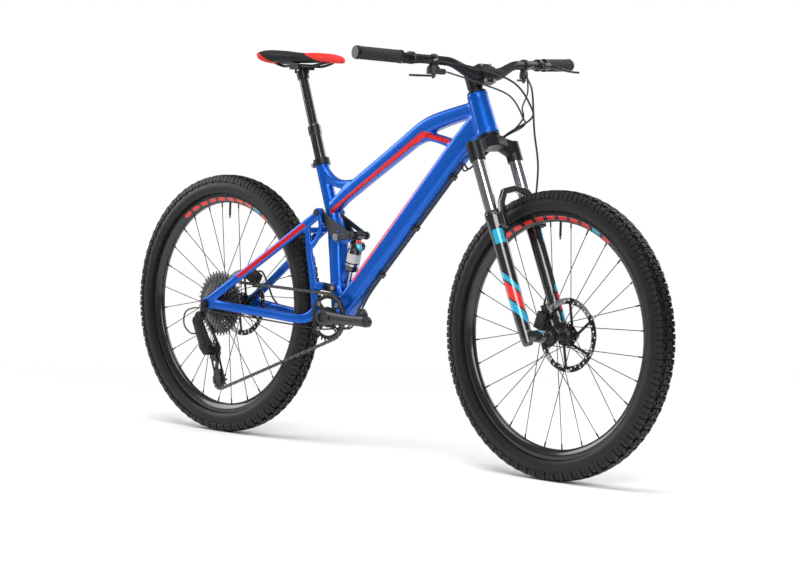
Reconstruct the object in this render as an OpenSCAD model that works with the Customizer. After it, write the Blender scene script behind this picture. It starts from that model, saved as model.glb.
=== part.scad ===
// Full-suspension mountain bike: welded frame, dual-link rear end, air fork, dropper post, single ring.
// Millimetres, +X forward, +Y to the rider's left, +Z up, origin on the floor midway between the axles.

/* [Wheels] */
// Distance between the two axles
wheelbase = 1200; // [1150:5:1250]
// Radius over the tread blocks
tyre_r = 349; // [344:1:356]
// Width of the tyre's carcass
tyre_w = 57; // [54:1:60]
// Height of the tread blocks
knob_h = 5; // [3:0.5:7]
// Tread blocks round the tyre in each row
knob_n = 48; // [40:4:72]
// Radius of the rim's bead seat
rim_r = 292; // [290:1:294]
// Outside width of the rim
rim_w = 30; // [26:1:34]
// Spokes in each wheel
spoke_n = 28; // [24:4:32]
// Diameter of the brake rotors
rotor_d = 180; // [160:10:190]

/* [Frame] */
// Bottom bracket ahead of the origin (behind it is negative)
bb_x = -148; // [-160:1:-140]
// Height of the bottom bracket
bb_z = 343; // [335:1:350]
// Steering axis above the level
head_angle = 67; // [65:0.5:69]
// Length of the head tube
head_len = 110; // [100:1:120]
// Seat tube above the level
seat_angle = 70; // [68:0.5:72]
// Top of the seat tube above the floor
seat_top_z = 748; // [735:1:760]
// Outside diameter of the dropper post's fixed tube
post_d = 30.9; // [27.2:0.1:31.6]

/* [Fork] */
// Front axle ahead of the steering axis
fork_offset = 42; // [38:1:48]
// Axle to crown along the steering axis
axle_crown = 528; // [520:1:536]
// Outside diameter of the stanchions
stanchion_d = 32; // [30:1:35]
// Leg centres each side of the bike's middle
leg_y = 67; // [65:0.5:70]

/* [Cockpit] */
// Width of the handlebar
bar_w = 760; // [720:5:800]
// Rise of the handlebar
bar_rise = 35; // [20:1:45]
// Bar centre ahead of the steering axis
stem_len = 40; // [35:1:50]
// Length of the grips
grip_len = 130; // [120:1:135]

/* [Seat] */
// Height of the dropper's sliding tube showing
post_show = 150; // [130:1:165]
// Length of the saddle
saddle_len = 270; // [255:1:285]
// Width of the saddle
saddle_w = 140; // [125:1:150]

/* [Drivetrain] */
// Crank length between centres
crank_len = 175; // [165:1:177]
// Teeth on the chainring
ring_n = 30; // [28:1:32]
// Radius of the pedal threads' drilled hole
pedal_r = 7.1; // [6.9:0.05:7.2]

/* [Hidden] */
$fn = 48;
run_fit = 0.05;
slip = 0.4;
pitch = 12.7;

// Axles and steering axis
rear_x = -wheelbase / 2;
front_x = wheelbase / 2;
axle_z = tyre_r;
bb = [bb_x, 0, bb_z];
rear_axle_c = [rear_x, 0, axle_z];
foot = [front_x - fork_offset * sin(head_angle), 0, axle_z - fork_offset * cos(head_angle)];
function head(t) = foot + t * [-cos(head_angle), 0, sin(head_angle)];
head_low = head(axle_crown);
cup_h = 5;
head_top_t = axle_crown + cup_h + head_len;
module on_head(t) {
    translate(head(t))
        rotate([0, head_angle - 90, 0])
            children();
}

// Seat tube axis, measured up from the seat tube's top
seat_top = [-244 + (bb_x + 148), 0, seat_top_z];
function seat(t) = seat_top + t * [-cos(seat_angle), 0, sin(seat_angle)];
module on_seat(t) {
    translate(seat(t))
        rotate([0, seat_angle - 90, 0])
            children();
}

// Frame points follow the bottom bracket and the head tube, rear points follow the rear axle
design_head = [355, 0, 818.6];
design_bb = [-148, 0, 343];
design_rear = [-600, 0, 349];
front_kx = (head_low.x - bb_x) / (design_head.x - design_bb.x);
front_kz = (head_low.z - bb_z) / (design_head.z - design_bb.z);
rear_kx = (rear_x - bb_x) / (design_rear.x - design_bb.x);
rear_dz = (axle_z - bb_z) - (design_rear.z - design_bb.z);
function front(x, y, z) = [bb_x + (x - design_bb.x) * front_kx, y, bb_z + (z - design_bb.z) * front_kz];
function near(x, y, z) = [bb_x + x - design_bb.x, y, bb_z + z - design_bb.z];
function back(x, y, z) =
    let (u = min(1, max(0, (design_bb.x - x) / (design_bb.x - design_rear.x))))
    [bb_x + (x - design_bb.x) * rear_kx, y, bb_z + z - design_bb.z + u * rear_dz];

// Rear suspension pivots: upper link on frame, upper link on stays, shock eyes, lower link
pivot_frame = near(-145, 0, 550);
pivot_stay = near(-208, 0, 611);
pivot_shock = near(-97, 0, 556);
shock_foot = near(-135, 0, 394);
low_frame = near(-155, 0, 417);
low_stay = near(-193, 0, 420);
pin_r = 6;
open_fit = 1.9;
shock_v = pivot_shock - shock_foot;
shock_len = norm(shock_v);
shock_tilt = atan2(shock_v.x, shock_v.z);
shock_stroke = 30;
can_r = 18;
module on_shock(t) {
    translate(shock_foot + t * shock_v / shock_len)
        rotate([0, shock_tilt, 0])
            children();
}

// Lofted tube through stations [centre, half width across, half depth in the side view]
loft_sides = 20;
function unit(v) = v / norm(v);
function heading(s, i) = unit(s[min(i + 1, len(s) - 1)][0] - s[max(i - 1, 0)][0]);
function bulge(c, p) = sign(c) * pow(abs(c), 2 / p);
function ring(s, i, p, m) =
    let (t = heading(s, i), b = unit([0, 1, 0] - t * t.y), n = cross(t, b))
    [for (k = [0:m - 1])
        let (q = 360 * (k + 0.5) / m)
        s[i][0] + b * s[i][1] * bulge(cos(q), p) + n * s[i][2] * bulge(sin(q), p)];
module loft(s, p = 2, m = loft_sides) {
    rows = len(s);
    polyhedron(
        points = [for (i = [0:rows - 1]) each ring(s, i, p, m)],
        faces = concat(
            [[for (k = [0:m - 1]) k]],
            [for (i = [0:rows - 2], k = [0:m - 1])
                each [[i * m + k, (i + 1) * m + k, (i + 1) * m + (k + 1) % m],
                    [i * m + k, (i + 1) * m + (k + 1) % m, i * m + (k + 1) % m]]],
            [[for (k = [m - 1:-1:0]) (rows - 1) * m + k]]
        )
    );
}

// Round hose through points, bent smoothly between them
function bend(p, i, u) =
    let (a = p[max(i - 1, 0)], b = p[i], c = p[i + 1], d = p[min(i + 2, len(p) - 1)])
    0.5 * (2 * b + (c - a) * u + (2 * a - 5 * b + 4 * c - d) * u * u + (3 * b - a - 3 * c + d) * u * u * u);
function smooth(p, n) = concat([for (i = [0:len(p) - 2], k = [0:n - 1]) bend(p, i, k / n)], [p[len(p) - 1]]);
module hose(p, r, n = 5) {
    loft([for (c = smooth(p, n)) [c, r, r]], m = 8);
}

// Straight round bar between two points
module rod(a, b, r, r2 = 0) {
    d = b - a;
    translate(a)
        rotate([0, acos(d.z / norm(d)), atan2(d.y, d.x)])
            cylinder(h = norm(d), r1 = r, r2 = r2 == 0 ? r : r2);
}

// Round piece lying across the bike, from y0 to y1
module across(c, y0, y1, r, r2 = 0) {
    translate([c.x, y0, c.z])
        rotate([-90, 0, 0])
            cylinder(h = y1 - y0, r1 = r, r2 = r2 == 0 ? r : r2);
}
// Flat piece drawn in the side view, from y0 to y1
module plate(y0, y1) {
    translate([0, y1, 0])
        rotate([90, 0, 0])
            linear_extrude(y1 - y0)
                children();
}
// Turned piece about the axle through c
module turned(c) {
    translate(c)
        rotate([-90, 0, 0])
            rotate_extrude($fn = 120)
                children();
}
function flat(c) = [c.x, c.z];
// Rounded bar between two points of a flat shape
module strap(a, b, w) {
    d = b - a;
    translate(a)
        rotate(atan2(d.y, d.x)) {
            translate([0, -w / 2])
                square([norm(d), w]);
            circle(d = w);
            translate([norm(d), 0])
                circle(d = w);
        }
}

// Sprocket outline with n teeth
function pitch_r(n) = pitch / 2 / sin(180 / n);
tooth_root = 4.4;
tooth_top = 3.6;
function teeth(n, turn) =
    let (r = pitch_r(n), s = 360 / n)
    [for (k = [0:n - 1])
        each [for (q = [[-0.5, -tooth_root], [-0.24, -tooth_root * 0.55], [-0.09, tooth_top], [0.09,
            tooth_top],
            [0.24, -tooth_root * 0.55]])
            let (a = turn + s * (k + 0.5 + q[0]))
            (r + q[1]) * [cos(a), sin(a)]]];

// Front frame
tube_top = [[front(322, 0, 891), 20, 18], [front(281, 0, 881), 20, 19], [front(210, 0, 863), 20, 20],
    [front(168, 0, 850), 20, 20.5], [front(138, 0, 836), 20, 21], [front(108, 0, 818), 20, 21],
    [front(50, 0, 781), 19, 20], [front(-40, 0, 725), 18, 19], [front(-110, 0, 681), 17.5, 18.5],
    [front(-150, 0, 655), 17, 18], [front(-176, 0, 634), 17, 17.5], [seat(-132) + [6, 0, 0], 16.5, 17]];
tube_down = [[front(334, 0, 860), 20, 30], [front(306, 0, 832.5), 22, 30], [front(253, 0, 779.3), 25, 28],
    [front(153, 0, 672.3), 26, 27], [front(53, 0, 565.3), 26, 26.5], [front(-47, 0, 459.3), 26, 26],
    [front(-102, 0, 400), 26, 26.5], [front(-140, 0, 362), 26, 26]];
tube_gusset = [[front(100, 0, 800), 14, 11], [front(146, 0, 815), 14, 11], [front(192, 0, 810), 15, 11],
    [front(246, 0, 796), 16, 12]];
brace_t = -12;
tube_brace = [[seat(brace_t), 13, 10], [seat(brace_t) + [26, 0, -30], 13, 11],
    [seat(brace_t) + [56, 0, -46], 13, 11.5], [front(-148, 0, 686), 14, 12], [front(-104, 0, 690), 14, 13]];
tube_seat = [[seat(-165), 18, 19], [seat(-210), 22, 21], [near(-163, 0, 480), 25, 21],
    [near(-156, 0, 420), 25, 21], [near(-148, 0, 348), 25, 23]];
seat_tube_r = post_d / 2 + 2.2;
seat_tube_len = 200;
steerer_r = 14.3;
bb_shell_r = 23;
bb_shell_y = 36.5;
spindle_r = 15;
boss_y = 25.5;
bottle_gap = 64;
boss_r = 6;
bottle_tap_r = 2.1;
boss_h = 29;
boss_lean = 1.5;
down_dir = unit(tube_down[4][0] - tube_down[3][0]);
down_up = [down_dir.z, 0, -down_dir.x];
bottle_x = [150, 150 + bottle_gap * down_dir.x / front_kx];
function down_at(x) = tube_down[3][0] + down_dir * (tube_down[3][0].x - front(x, 0, 0).x) / -down_dir.x;
module front_frame() {
    color([0.05, 0.18, 0.68])
        difference() {
            union() {
                on_head(axle_crown + cup_h)
                    cylinder(h = head_len, r1 = 29, r2 = 25.5);
                loft(tube_top, 3.4);
                loft(tube_down, 4.5);
                loft(tube_gusset, 3);
                loft(tube_brace, 3);
                loft(tube_seat, 3.2);
                on_seat(-seat_tube_len)
                    cylinder(h = seat_tube_len, r = seat_tube_r);
                across(bb, -bb_shell_y, bb_shell_y, bb_shell_r);
                across(pivot_frame, -boss_y, boss_y, 15);
                across(low_frame, -boss_y - 0.5, boss_y + 0.5, 13);
                for (x = bottle_x)
                    rod(down_at(x), down_at(x) + down_up * boss_h + down_dir * boss_lean, boss_r);
            }
            on_head(axle_crown)
                cylinder(h = head_len + 2 * cup_h, r = steerer_r + 3);
            on_seat(-seat_tube_len + 25)
                cylinder(h = seat_tube_len, r = post_d / 2 + run_fit);
            across(bb, -bb_shell_y - 1, bb_shell_y + 1, spindle_r + 4);
            across(pivot_frame, -boss_y - 1, boss_y + 1, pin_r);
            across(low_frame, -boss_y - 2, boss_y + 2, pin_r);
            across(shock_foot, -60, 60, 4);
            on_shock(-16)
                translate([-15, -14, 0])
                    cube([30, 28, 150]);
            on_shock(34)
                cylinder(h = 120, r = can_r + 2.5);
            for (x = bottle_x)
                rod(down_at(x) + down_up * 16, down_at(x) + down_up * 32, bottle_tap_r);
        }
}

// Headset and bottom-bracket bearing cups pressed into the frame
module bearing_cups() {
    color([0.05, 0.05, 0.06]) {
        for (t = [axle_crown + slip, head_top_t])
            on_head(t)
                difference() {
                    cylinder(h = cup_h - slip, r = t < head_top_t ? 28 : 24.5);
                    translate([0, 0, -1])
                        cylinder(h = cup_h + 2, r = steerer_r + run_fit);
                }
        for (s = [-1, 1])
            difference() {
                across(bb, s > 0 ? bb_shell_y : -bb_shell_y - 8, s > 0 ? bb_shell_y + 8 : -bb_shell_y, 22);
                across(bb, -60, 60, spindle_r + run_fit);
            }
    }
}

// Seat clamp collar, split at the back
clamp_h = 16;
clamp_r = seat_tube_r + 4;
module seat_clamp() {
    color([0.04, 0.04, 0.05])
        on_seat(-clamp_h)
            difference() {
                union() {
                    cylinder(h = clamp_h + 1, r = clamp_r);
                    translate([-clamp_r - 7, -9, 2])
                        cube([12, 18, clamp_h - 4]);
                }
                translate([0, 0, -1])
                    cylinder(h = clamp_h + 1, r = seat_tube_r + run_fit);
                translate([0, 0, -1])
                    cylinder(h = clamp_h + 4, r = post_d / 2 + 0.3);
                translate([-clamp_r - 10, -1.5, -1])
                    cube([20, 3, clamp_h + 4]);
                translate([-clamp_r - 3, -12, clamp_h / 2])
                    rotate([-90, 0, 0])
                        cylinder(h = 24, r = 2.5);
            }
}

// Bolts and pivot pins that stay with the frame
module frame_bolts() {
    color([0.62, 0.63, 0.65]) {
        on_seat(-clamp_h / 2)
            translate([-clamp_r - 3, -11, 0])
                rotate([-90, 0, 0]) {
                    cylinder(h = 22, r = 2.45);
                    translate([0, 0, -3])
                        cylinder(h = 5, r = 4.2);
                }
        across(pivot_frame, -36, 36, pin_r - 0.02);
        for (s = [-1, 1])
            across(pivot_frame, s > 0 ? 33.5 : -37.5, s > 0 ? 37.5 : -33.5, 9);
        across(low_frame, -33, 33, pin_r - 0.02);
        across(shock_foot, -25, 25, 3.95);
    }
}

// Dropper post: fixed tube with its collar
post_drop = 70;
post_deep = seat_tube_len - 35;
collar_h = 22;
slide_r = 12.7;
module dropper_outer() {
    color([0.03, 0.03, 0.035])
        difference() {
            union() {
                on_seat(-post_deep)
                    cylinder(h = post_deep + post_drop, r = post_d / 2);
                on_seat(post_drop - 1)
                    cylinder(h = collar_h + 1, r = post_d / 2 + 2);
                on_seat(post_drop + collar_h - 1)
                    cylinder(h = 5, r1 = post_d / 2 + 1, r2 = slide_r + 1.2);
            }
            on_seat(5 - post_deep)
                cylinder(h = post_deep + post_drop + 2 * collar_h, r = slide_r + run_fit);
        }
}

// Hose clips under the down tube
clip_x = [214, 90, -28];
hose_r = 2.5;
hose_y = 5;
hose_drop = 4;
clip_gap = 0.6;
function down_half(x) = lookup(front(x, 0, 0).x, [for (q = tube_down) [q[0].x, q[2]]]);
function under(x, y) = down_at(x) - down_up * (down_half(x) + hose_drop) + [0, y, 0];
module hose_clips() {
    color([0.03, 0.03, 0.03])
        for (x = clip_x)
            translate(under(x, 0))
                rotate([0, -atan2(down_dir.z, down_dir.x), 0])
                    difference() {
                        translate([-7, -10, slip / 2 - hose_drop])
                            cube([14, 20, hose_drop + 4.3]);
                        for (s = [-1, 1])
                            translate([-8, s * hose_y, 0])
                                rotate([0, 90, 0])
                                    cylinder(h = 16, r = hose_r + clip_gap);
                    }
}

// Rear brake hose and gear cable along the down tube
module frame_hoses() {
    color([0.02, 0.02, 0.02])
        for (s = [-1, 1])
            hose([under(228, s * hose_y), under(190, s * hose_y), under(100, s * hose_y),
                under(0, s * hose_y), under(-70, s * hose_y), near(-112, s * hose_y * 1.2, 322),
                near(-150, s * hose_y * 2, 313)], hose_r);
}

// Fork crown with steerer
leg_x = 5;
socket_r = stanchion_d / 2 + 6;
crown_h = 36;
socket_low = axle_crown - 64;
spacer_h = 10;
stem_h = 40;
steerer_len = head_len + 2 * cup_h + spacer_h + stem_h - 2;
module crown_steerer() {
    color([0.04, 0.04, 0.045])
        on_head(0)
            difference() {
                union() {
                    translate([0, 0, axle_crown - 4])
                        cylinder(h = steerer_len + 4, r = steerer_r);
                    for (s = [-1, 1]) {
                        hull() {
                            translate([0, 0, axle_crown - crown_h + 4])
                                cylinder(h = crown_h - 4, r = 27, $fn = 32);
                            translate([leg_x, s * leg_y, axle_crown - crown_h - 16])
                                cylinder(h = crown_h - 4, r = socket_r - 1, $fn = 32);
                        }
                        translate([leg_x, s * leg_y, socket_low])
                            cylinder(h = 50, r = socket_r);
                    }
                }
                for (s = [-1, 1])
                    translate([leg_x, s * leg_y, socket_low - 1])
                        cylinder(h = 46, r = stanchion_d / 2 + run_fit);
                translate([leg_x, 0, axle_crown - crown_h - 38])
                    rotate([0, 90, 0])
                        cylinder(h = 120, r = 40, center = true);
            }
}

// Polished stanchions
stanchion_low = 180;
module stanchions() {
    color([0.75, 0.75, 0.76])
        on_head(0)
            for (s = [-1, 1])
                translate([leg_x, s * leg_y, stanchion_low])
                    difference() {
                        cylinder(h = socket_low + 44 - stanchion_low, r = stanchion_d / 2);
                        translate([0, 0, -1])
                            cylinder(h = 250, r = stanchion_d / 2 - 3);
                    }
}

// Fork lowers: two cast legs, the arch over the tyre and the axle lugs
lower_top = axle_crown - 201;
leg_r = stanchion_d / 2 + 4.5;
lug_y = 50;
lug_w = 14;
axle_r = 7.5;
axle_head_r = 12;
module fork_lowers() {
    color([0.03, 0.03, 0.035])
        on_head(0)
            difference() {
                union() {
                    for (s = [-1, 1])
                        translate([leg_x, s * leg_y, -24])
                            rotate_extrude()
                                polygon([[0, 0], [10, 0], [14, 6], [leg_r - 3.5, 70],
                                    [leg_r - 2, lower_top - 40], [leg_r, lower_top + 6],
                                    [leg_r, lower_top + 20], [leg_r - 1.5, lower_top + 24],
                                    [0, lower_top + 24]]);
                    translate([leg_x + 31, 0, lower_top - 15])
                        rotate([0, -90, 0])
                            rotate([0, 0, -90])
                                rotate_extrude(angle = 180)
                                    translate([leg_y - 9, -7])
                                        square([17, 14]);
                    for (s = [-1, 1]) {
                        translate([leg_x + 8, s * (leg_y - 0.5) - 8.5, lower_top - 40])
                            cube([30, 17, 26]);
                        hull() {
                            translate([leg_x, s * (lug_y + 14), 14])
                                rotate([90, 0, 0])
                                    cylinder(h = 22, r = 13, center = true, $fn = 32);
                            translate([fork_offset, s * (lug_y + lug_w / 2), 0])
                                rotate([90, 0, 0])
                                    cylinder(h = lug_w, r = 15, center = true, $fn = 32);
                        }
                    }
                }
                for (s = [-1, 1])
                    translate([leg_x, s * leg_y, 44])
                        cylinder(h = 400, r = stanchion_d / 2 + run_fit);
                translate([fork_offset, 0, 0])
                    rotate([90, 0, 0])
                        cylinder(h = 200, r = axle_r, center = true);
                for (s = [-1, 1])
                    translate([fork_offset, s * (lug_y + lug_w + 20), 0])
                        rotate([90, 0, 0])
                            cylinder(h = 40, r = axle_head_r + 0.5, center = true);
            }
}

// Front thru-axle with its lever head
module front_axle() {
    color([0.06, 0.06, 0.06])
        translate([front_x, 0, axle_z]) {
            rotate([90, 0, 0])
                cylinder(h = 2 * (lug_y + lug_w + 2), r = axle_r - 0.02, center = true);
            for (s = [-1, 1])
                translate([0, s * (lug_y + lug_w + 2.5), 0])
                    rotate([90, 0, 0])
                        cylinder(h = 5, r = s > 0 ? axle_head_r : axle_head_r - 2, center = true);
        }
}

// Headset spacer and top cap
stem_t = head_top_t + cup_h + spacer_h + stem_h / 2;
stem_r = 19.5;
module headset_spacers() {
    color([0.05, 0.05, 0.05]) {
        on_head(head_top_t + cup_h)
            difference() {
                cylinder(h = spacer_h, r = stem_r - 1.5);
                translate([0, 0, -1])
                    cylinder(h = spacer_h + 2, r = steerer_r + run_fit);
            }
        on_head(stem_t + stem_h / 2)
            cylinder(h = 4, r1 = stem_r - 1.5, r2 = stem_r - 4);
    }
}

// Stem, its faceplate and bolts
bar_c = head(stem_t) + stem_len * [sin(head_angle), 0, cos(head_angle)];
bar_r = 11.1;
bar_mid_r = 15.9;
clamp_w = 46;
bolt_y = 16;
bolt_z = 20;
bolt_head_r = 4;
module bar_clamp(back) {
    difference() {
        union() {
            translate([stem_len, 0, 0])
                rotate([90, 0, 0])
                    cylinder(h = clamp_w, r = bar_mid_r + 5, center = true);
            translate([stem_len - 9, -clamp_w / 2, -bolt_z - 4])
                cube([18, clamp_w, 2 * bolt_z + 8]);
            children();
        }
        translate([stem_len, 0, 0])
            rotate([90, 0, 0])
                cylinder(h = clamp_w + 2, r = bar_mid_r, center = true);
        translate([back ? stem_len - 0.6 : stem_len - 60.6, -40, -40])
            cube([60, 80, 80]);
        for (y = [-bolt_y, bolt_y], z = [-bolt_z, bolt_z])
            translate([stem_len - 12, y, z])
                rotate([0, 90, 0]) {
                    cylinder(h = 30, r = 2.5);
                    translate([0, 0, 21])
                        cylinder(h = 30, r = bolt_head_r + slip);
                }
    }
}
module stem() {
    color([0.03, 0.03, 0.03])
        on_head(stem_t)
            difference() {
                bar_clamp(true) {
                    cylinder(h = stem_h, r = stem_r, center = true);
                    translate([0, -16, -14])
                        cube([stem_len - 6, 32, 28]);
                }
                cylinder(h = stem_h + 2, r = steerer_r + run_fit, center = true);
            }
}
module stem_faceplate() {
    color([0.03, 0.03, 0.03])
        on_head(stem_t)
            translate([1.2, 0, 0])
                bar_clamp(false);
}
module stem_bolts() {
    color([0.6, 0.6, 0.62]) {
        on_head(stem_t)
            for (y = [-bolt_y, bolt_y], z = [-bolt_z, bolt_z])
                translate([stem_len - 8, y, z])
                    rotate([0, 90, 0]) {
                        cylinder(h = 19, r = 2.45);
                        translate([0, 0, 18.2])
                            cylinder(h = 4, r = bolt_head_r);
                    }
        on_head(stem_t + stem_h / 2 + 4)
            cylinder(h = 2, r = 5);
    }
}

// Riser handlebar
bend_y = 45;
knuckle = 0.3;
rise_y = 115;
sweep_x = 54;
function bar_p2(s) = bar_c + [-8, s * rise_y, bar_rise - 8];
function bar_p3(s) = bar_c + [-8 - sweep_x, s * bar_w / 2, bar_rise + 3];
function along(s, d) = bar_p3(s) + d * unit(bar_p2(s) - bar_p3(s));
module handlebar() {
    color([0.03, 0.03, 0.03]) {
        rod(bar_c - [0, bend_y, 0], bar_c + [0, bend_y, 0], bar_mid_r);
        for (s = [-1, 1]) {
            translate(bar_c + [0, s * bend_y, 0])
                sphere(r = bar_mid_r + knuckle);
            rod(bar_c + [0, s * bend_y, 0], bar_p2(s), bar_mid_r, bar_r);
            translate(bar_p2(s))
                sphere(r = bar_r + knuckle);
            rod(bar_p2(s), bar_p3(s), bar_r);
        }
    }
}

// Lock-on grips and their rings
grip_r = 15;
ring_w = 8;
rib_n = 12;
module grips() {
    color([0.02, 0.02, 0.02])
        for (s = [-1, 1])
            difference() {
                union() {
                    rod(along(s, ring_w + 0.1), along(s, grip_len - ring_w - 0.1), grip_r);
                    for (k = [0:rib_n - 1])
                        let (d = ring_w + 4 + k * (grip_len - 2 * ring_w - 12) / (rib_n - 1))
                        rod(along(s, d), along(s, d + 5), grip_r + 1);
                }
                rod(along(s, 0), along(s, grip_len), bar_r + 0.02);
            }
}
module grip_rings() {
    color([0.05, 0.05, 0.05])
        for (s = [-1, 1]) {
            for (d = [0, grip_len - ring_w])
                difference() {
                    rod(along(s, d), along(s, d + ring_w), grip_r + 1.5);
                    rod(along(s, d - 1), along(s, d + ring_w + 1), bar_r + 0.02);
                }
            rod(along(s, -3), along(s, -0.05), grip_r + 0.5);
        }
}

// Brake master cylinders clamped inboard of the grips
brake_d = grip_len + 14;
lever_lift = 4.4;
function lever_p(s) = along(s, brake_d + 46) + [43.5, 0, -2];
module brake_bodies() {
    color([0.05, 0.05, 0.055])
        for (s = [-1, 1])
            difference() {
                union() {
                    rod(along(s, brake_d + 6), along(s, brake_d + 18), bar_r + 4.5);
                    rod(along(s, brake_d + 12), along(s, brake_d + 12) + [28, 0, -2], 6);
                    rod(along(s, brake_d - 2) + [27, 0, -2], along(s, brake_d + 58) + [27, 0, -2], 9);
                    rod(along(s, brake_d + 58) + [27, 0, -2], along(s, brake_d + 66) + [27, 0, -2], 5);
                    for (z = [-lever_lift - 3.2, lever_lift]) {
                        translate(lever_p(s) + [0, 0, z])
                            cylinder(h = 3.2, r = 6);
                        translate(lever_p(s) + [-14, -5, z])
                            cube([14, 10, 3.2]);
                    }
                    translate(lever_p(s) - [0, 0, lever_lift + 1])
                        cylinder(h = 2 * lever_lift + 2, r = 2.4);
                }
                rod(along(s, brake_d), along(s, brake_d + 40), bar_r + 0.02);
            }
}
module brake_lever(s) {
    p = lever_p(s);
    difference() {
        union() {
            translate(p - [0, 0, 4])
                cylinder(h = 8, r = 6);
            rod(p + [3, 0, 0], p + [16, s * 22, -1], 4);
            translate(p + [16, s * 22, -1])
                sphere(r = 4 + knuckle);
            rod(p + [16, s * 22, -1], p + [15, s * 70, -2], 4, 3.8);
            translate(p + [15, s * 70, -2])
                sphere(r = 3.8 + knuckle);
            rod(p + [15, s * 70, -2], p + [9, s * 118, -1], 3.8, 3.4);
            translate(p + [9, s * 118, -1])
                sphere(r = 4.4);
        }
        translate(p - [0, 0, 6])
            cylinder(h = 12, r = 2.4 + run_fit);
    }
}
module brake_lever_right() {
    color([0.12, 0.12, 0.13])
        brake_lever(-1);
}
module brake_lever_left() {
    color([0.12, 0.12, 0.13])
        brake_lever(1);
}

// Gear shifter under the right of the bar, dropper remote under the left
pod_d = brake_d + 74;
paddle_gap = 0.6;
function pod_p(s) = along(s, pod_d + 5) - [0, 0, 27];
module pod_clamp(s) {
    difference() {
        union() {
            rod(along(s, pod_d), along(s, pod_d + 10), bar_r + 4);
            rod(along(s, pod_d + 5) - [0, 0, 10], pod_p(s), 5);
            children();
        }
        rod(along(s, pod_d - 10), along(s, pod_d + 20), bar_r + 0.02);
    }
}
module shifter_body() {
    color([0.06, 0.06, 0.065])
        pod_clamp(-1) {
            translate(pod_p(-1) - [0, 0, 8])
                cylinder(h = 17, r = 17);
            translate(pod_p(-1) - [4, 0, 8])
                cube([24, 26, 15]);
            translate(pod_p(-1) - [0, 0, 18])
                cylinder(h = 12, r = 3.5);
        }
}
module shift_paddle() {
    color([0.15, 0.15, 0.16])
        translate(pod_p(-1) - [0, 0, 8 + paddle_gap + 5])
            linear_extrude(5)
                difference() {
                    union() {
                        strap([0, 0], [-26, -18], 13);
                        strap([-26, -18], [-34, -38], 16);
                    }
                    circle(r = 3.5 + run_fit);
                }
}
module remote_body() {
    color([0.06, 0.06, 0.065])
        pod_clamp(1) {
            translate(pod_p(1) - [0, 0, 7])
                cylinder(h = 14, r = 11);
            translate(pod_p(1) - [0, 0, 17])
                cylinder(h = 12, r = 3.5);
        }
}
module remote_lever() {
    color([0.5, 0.5, 0.52])
        translate(pod_p(1) - [0, 0, 7 + paddle_gap + 5])
            linear_extrude(5)
                difference() {
                    union() {
                        strap([0, 0], [-24, 12], 12);
                        strap([-24, 12], [-32, 34], 15);
                    }
                    circle(r = 3.5 + run_fit);
                }
}

// Hoses that bend with the steering: rear brake, gear cable, dropper cable
hose_meet_x = 230;
module steering_hoses() {
    color([0.02, 0.02, 0.02]) {
        hose([along(-1, brake_d + 66) + [27, 0, -2], bar_c + [44, -70, 12], bar_c + [92, 10, -20],
            bar_c + [104, 62, -80], head_low + [74, 66, 46], head_low + [6, 60, 10], front(300, 44, 778),
            front(276, 18, 740), under(246, hose_y), under(hose_meet_x, hose_y)], hose_r, 6);
        hose([pod_p(-1) + [20, 26, -1], bar_c + [50, -64, -24], bar_c + [84, 4, -52],
            bar_c + [86, 52, -104], head_low + [62, 56, 30], head_low + [0, 50, -1], front(298, 34, 764),
            front(274, 4, 734), under(246, -hose_y), under(hose_meet_x, -hose_y)], hose_r - 0.4, 6);
        hose([pod_p(1) + [11.9, 0, -1], bar_c + [58, 96, -40], bar_c + [84, 50, -78],
            head_low + [66, 48, 46], head_low + [16, 44, 6], front(300, 32, 815), front(272, 27.4, 797)],
            hose_r - 0.4, 6);
    }
}

// Front brake hose, from the left lever down the fork leg
caliper_x = -22;
caliper_z = 58;
front_rotor_y = 39;
function fork_p(x, y, z) = head(z) + x * [sin(head_angle), 0, cos(head_angle)] + [0, y, 0];
module front_brake_hose() {
    color([0.02, 0.02, 0.02])
        hose([along(1, brake_d + 67.5) + [27, 0, -2], bar_c + [44, 100, 8], bar_c + [96, 70, -36],
            fork_p(72, 88, 520), fork_p(40, 104, 440), fork_p(2, 101, 350), fork_p(-8, 96, 270),
            fork_p(-14, 90, 180), fork_p(-20, 78, 130),
            fork_p(caliper_x + 3, front_rotor_y + 18, caliper_z + 43)], hose_r, 6);
}

// Brake caliper straddling a rotor that lies between y0 and y1, drawn about its centre
module caliper(y0, y1) {
    difference() {
        union() {
            translate([-21, y0 - 12, -13])
                cube([42, y1 - y0 + 24, 28]);
            for (x = [-10, 10])
                translate([x, y0 - 12.8, 0])
                    rotate([-90, 0, 0])
                        cylinder(h = y1 - y0 + 27.8, r = 9);
        }
        translate([-30, y0 - 1.2, -40])
            cube([60, y1 - y0 + 2.4, 48]);
    }
}
rotor_t = 1.8;
module front_caliper() {
    color([0.16, 0.16, 0.17]) {
        on_head(0)
            difference() {
                union() {
                    translate([caliper_x, 0, caliper_z])
                        rotate([0, -48, 0])
                            caliper(front_rotor_y, front_rotor_y + rotor_t);
                    translate([caliper_x - 4, front_rotor_y + 10, caliper_z - 30])
                        cube([16, 15, 70]);
                }
                translate([leg_x, leg_y, -50])
                    cylinder(h = 400, r = leg_r);
                translate([fork_offset, front_rotor_y - 1.2, 0])
                    rotate([-90, 0, 0])
                        cylinder(h = rotor_t + 2.4, r = rotor_d / 2 + 2);
            }
    }
}

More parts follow.
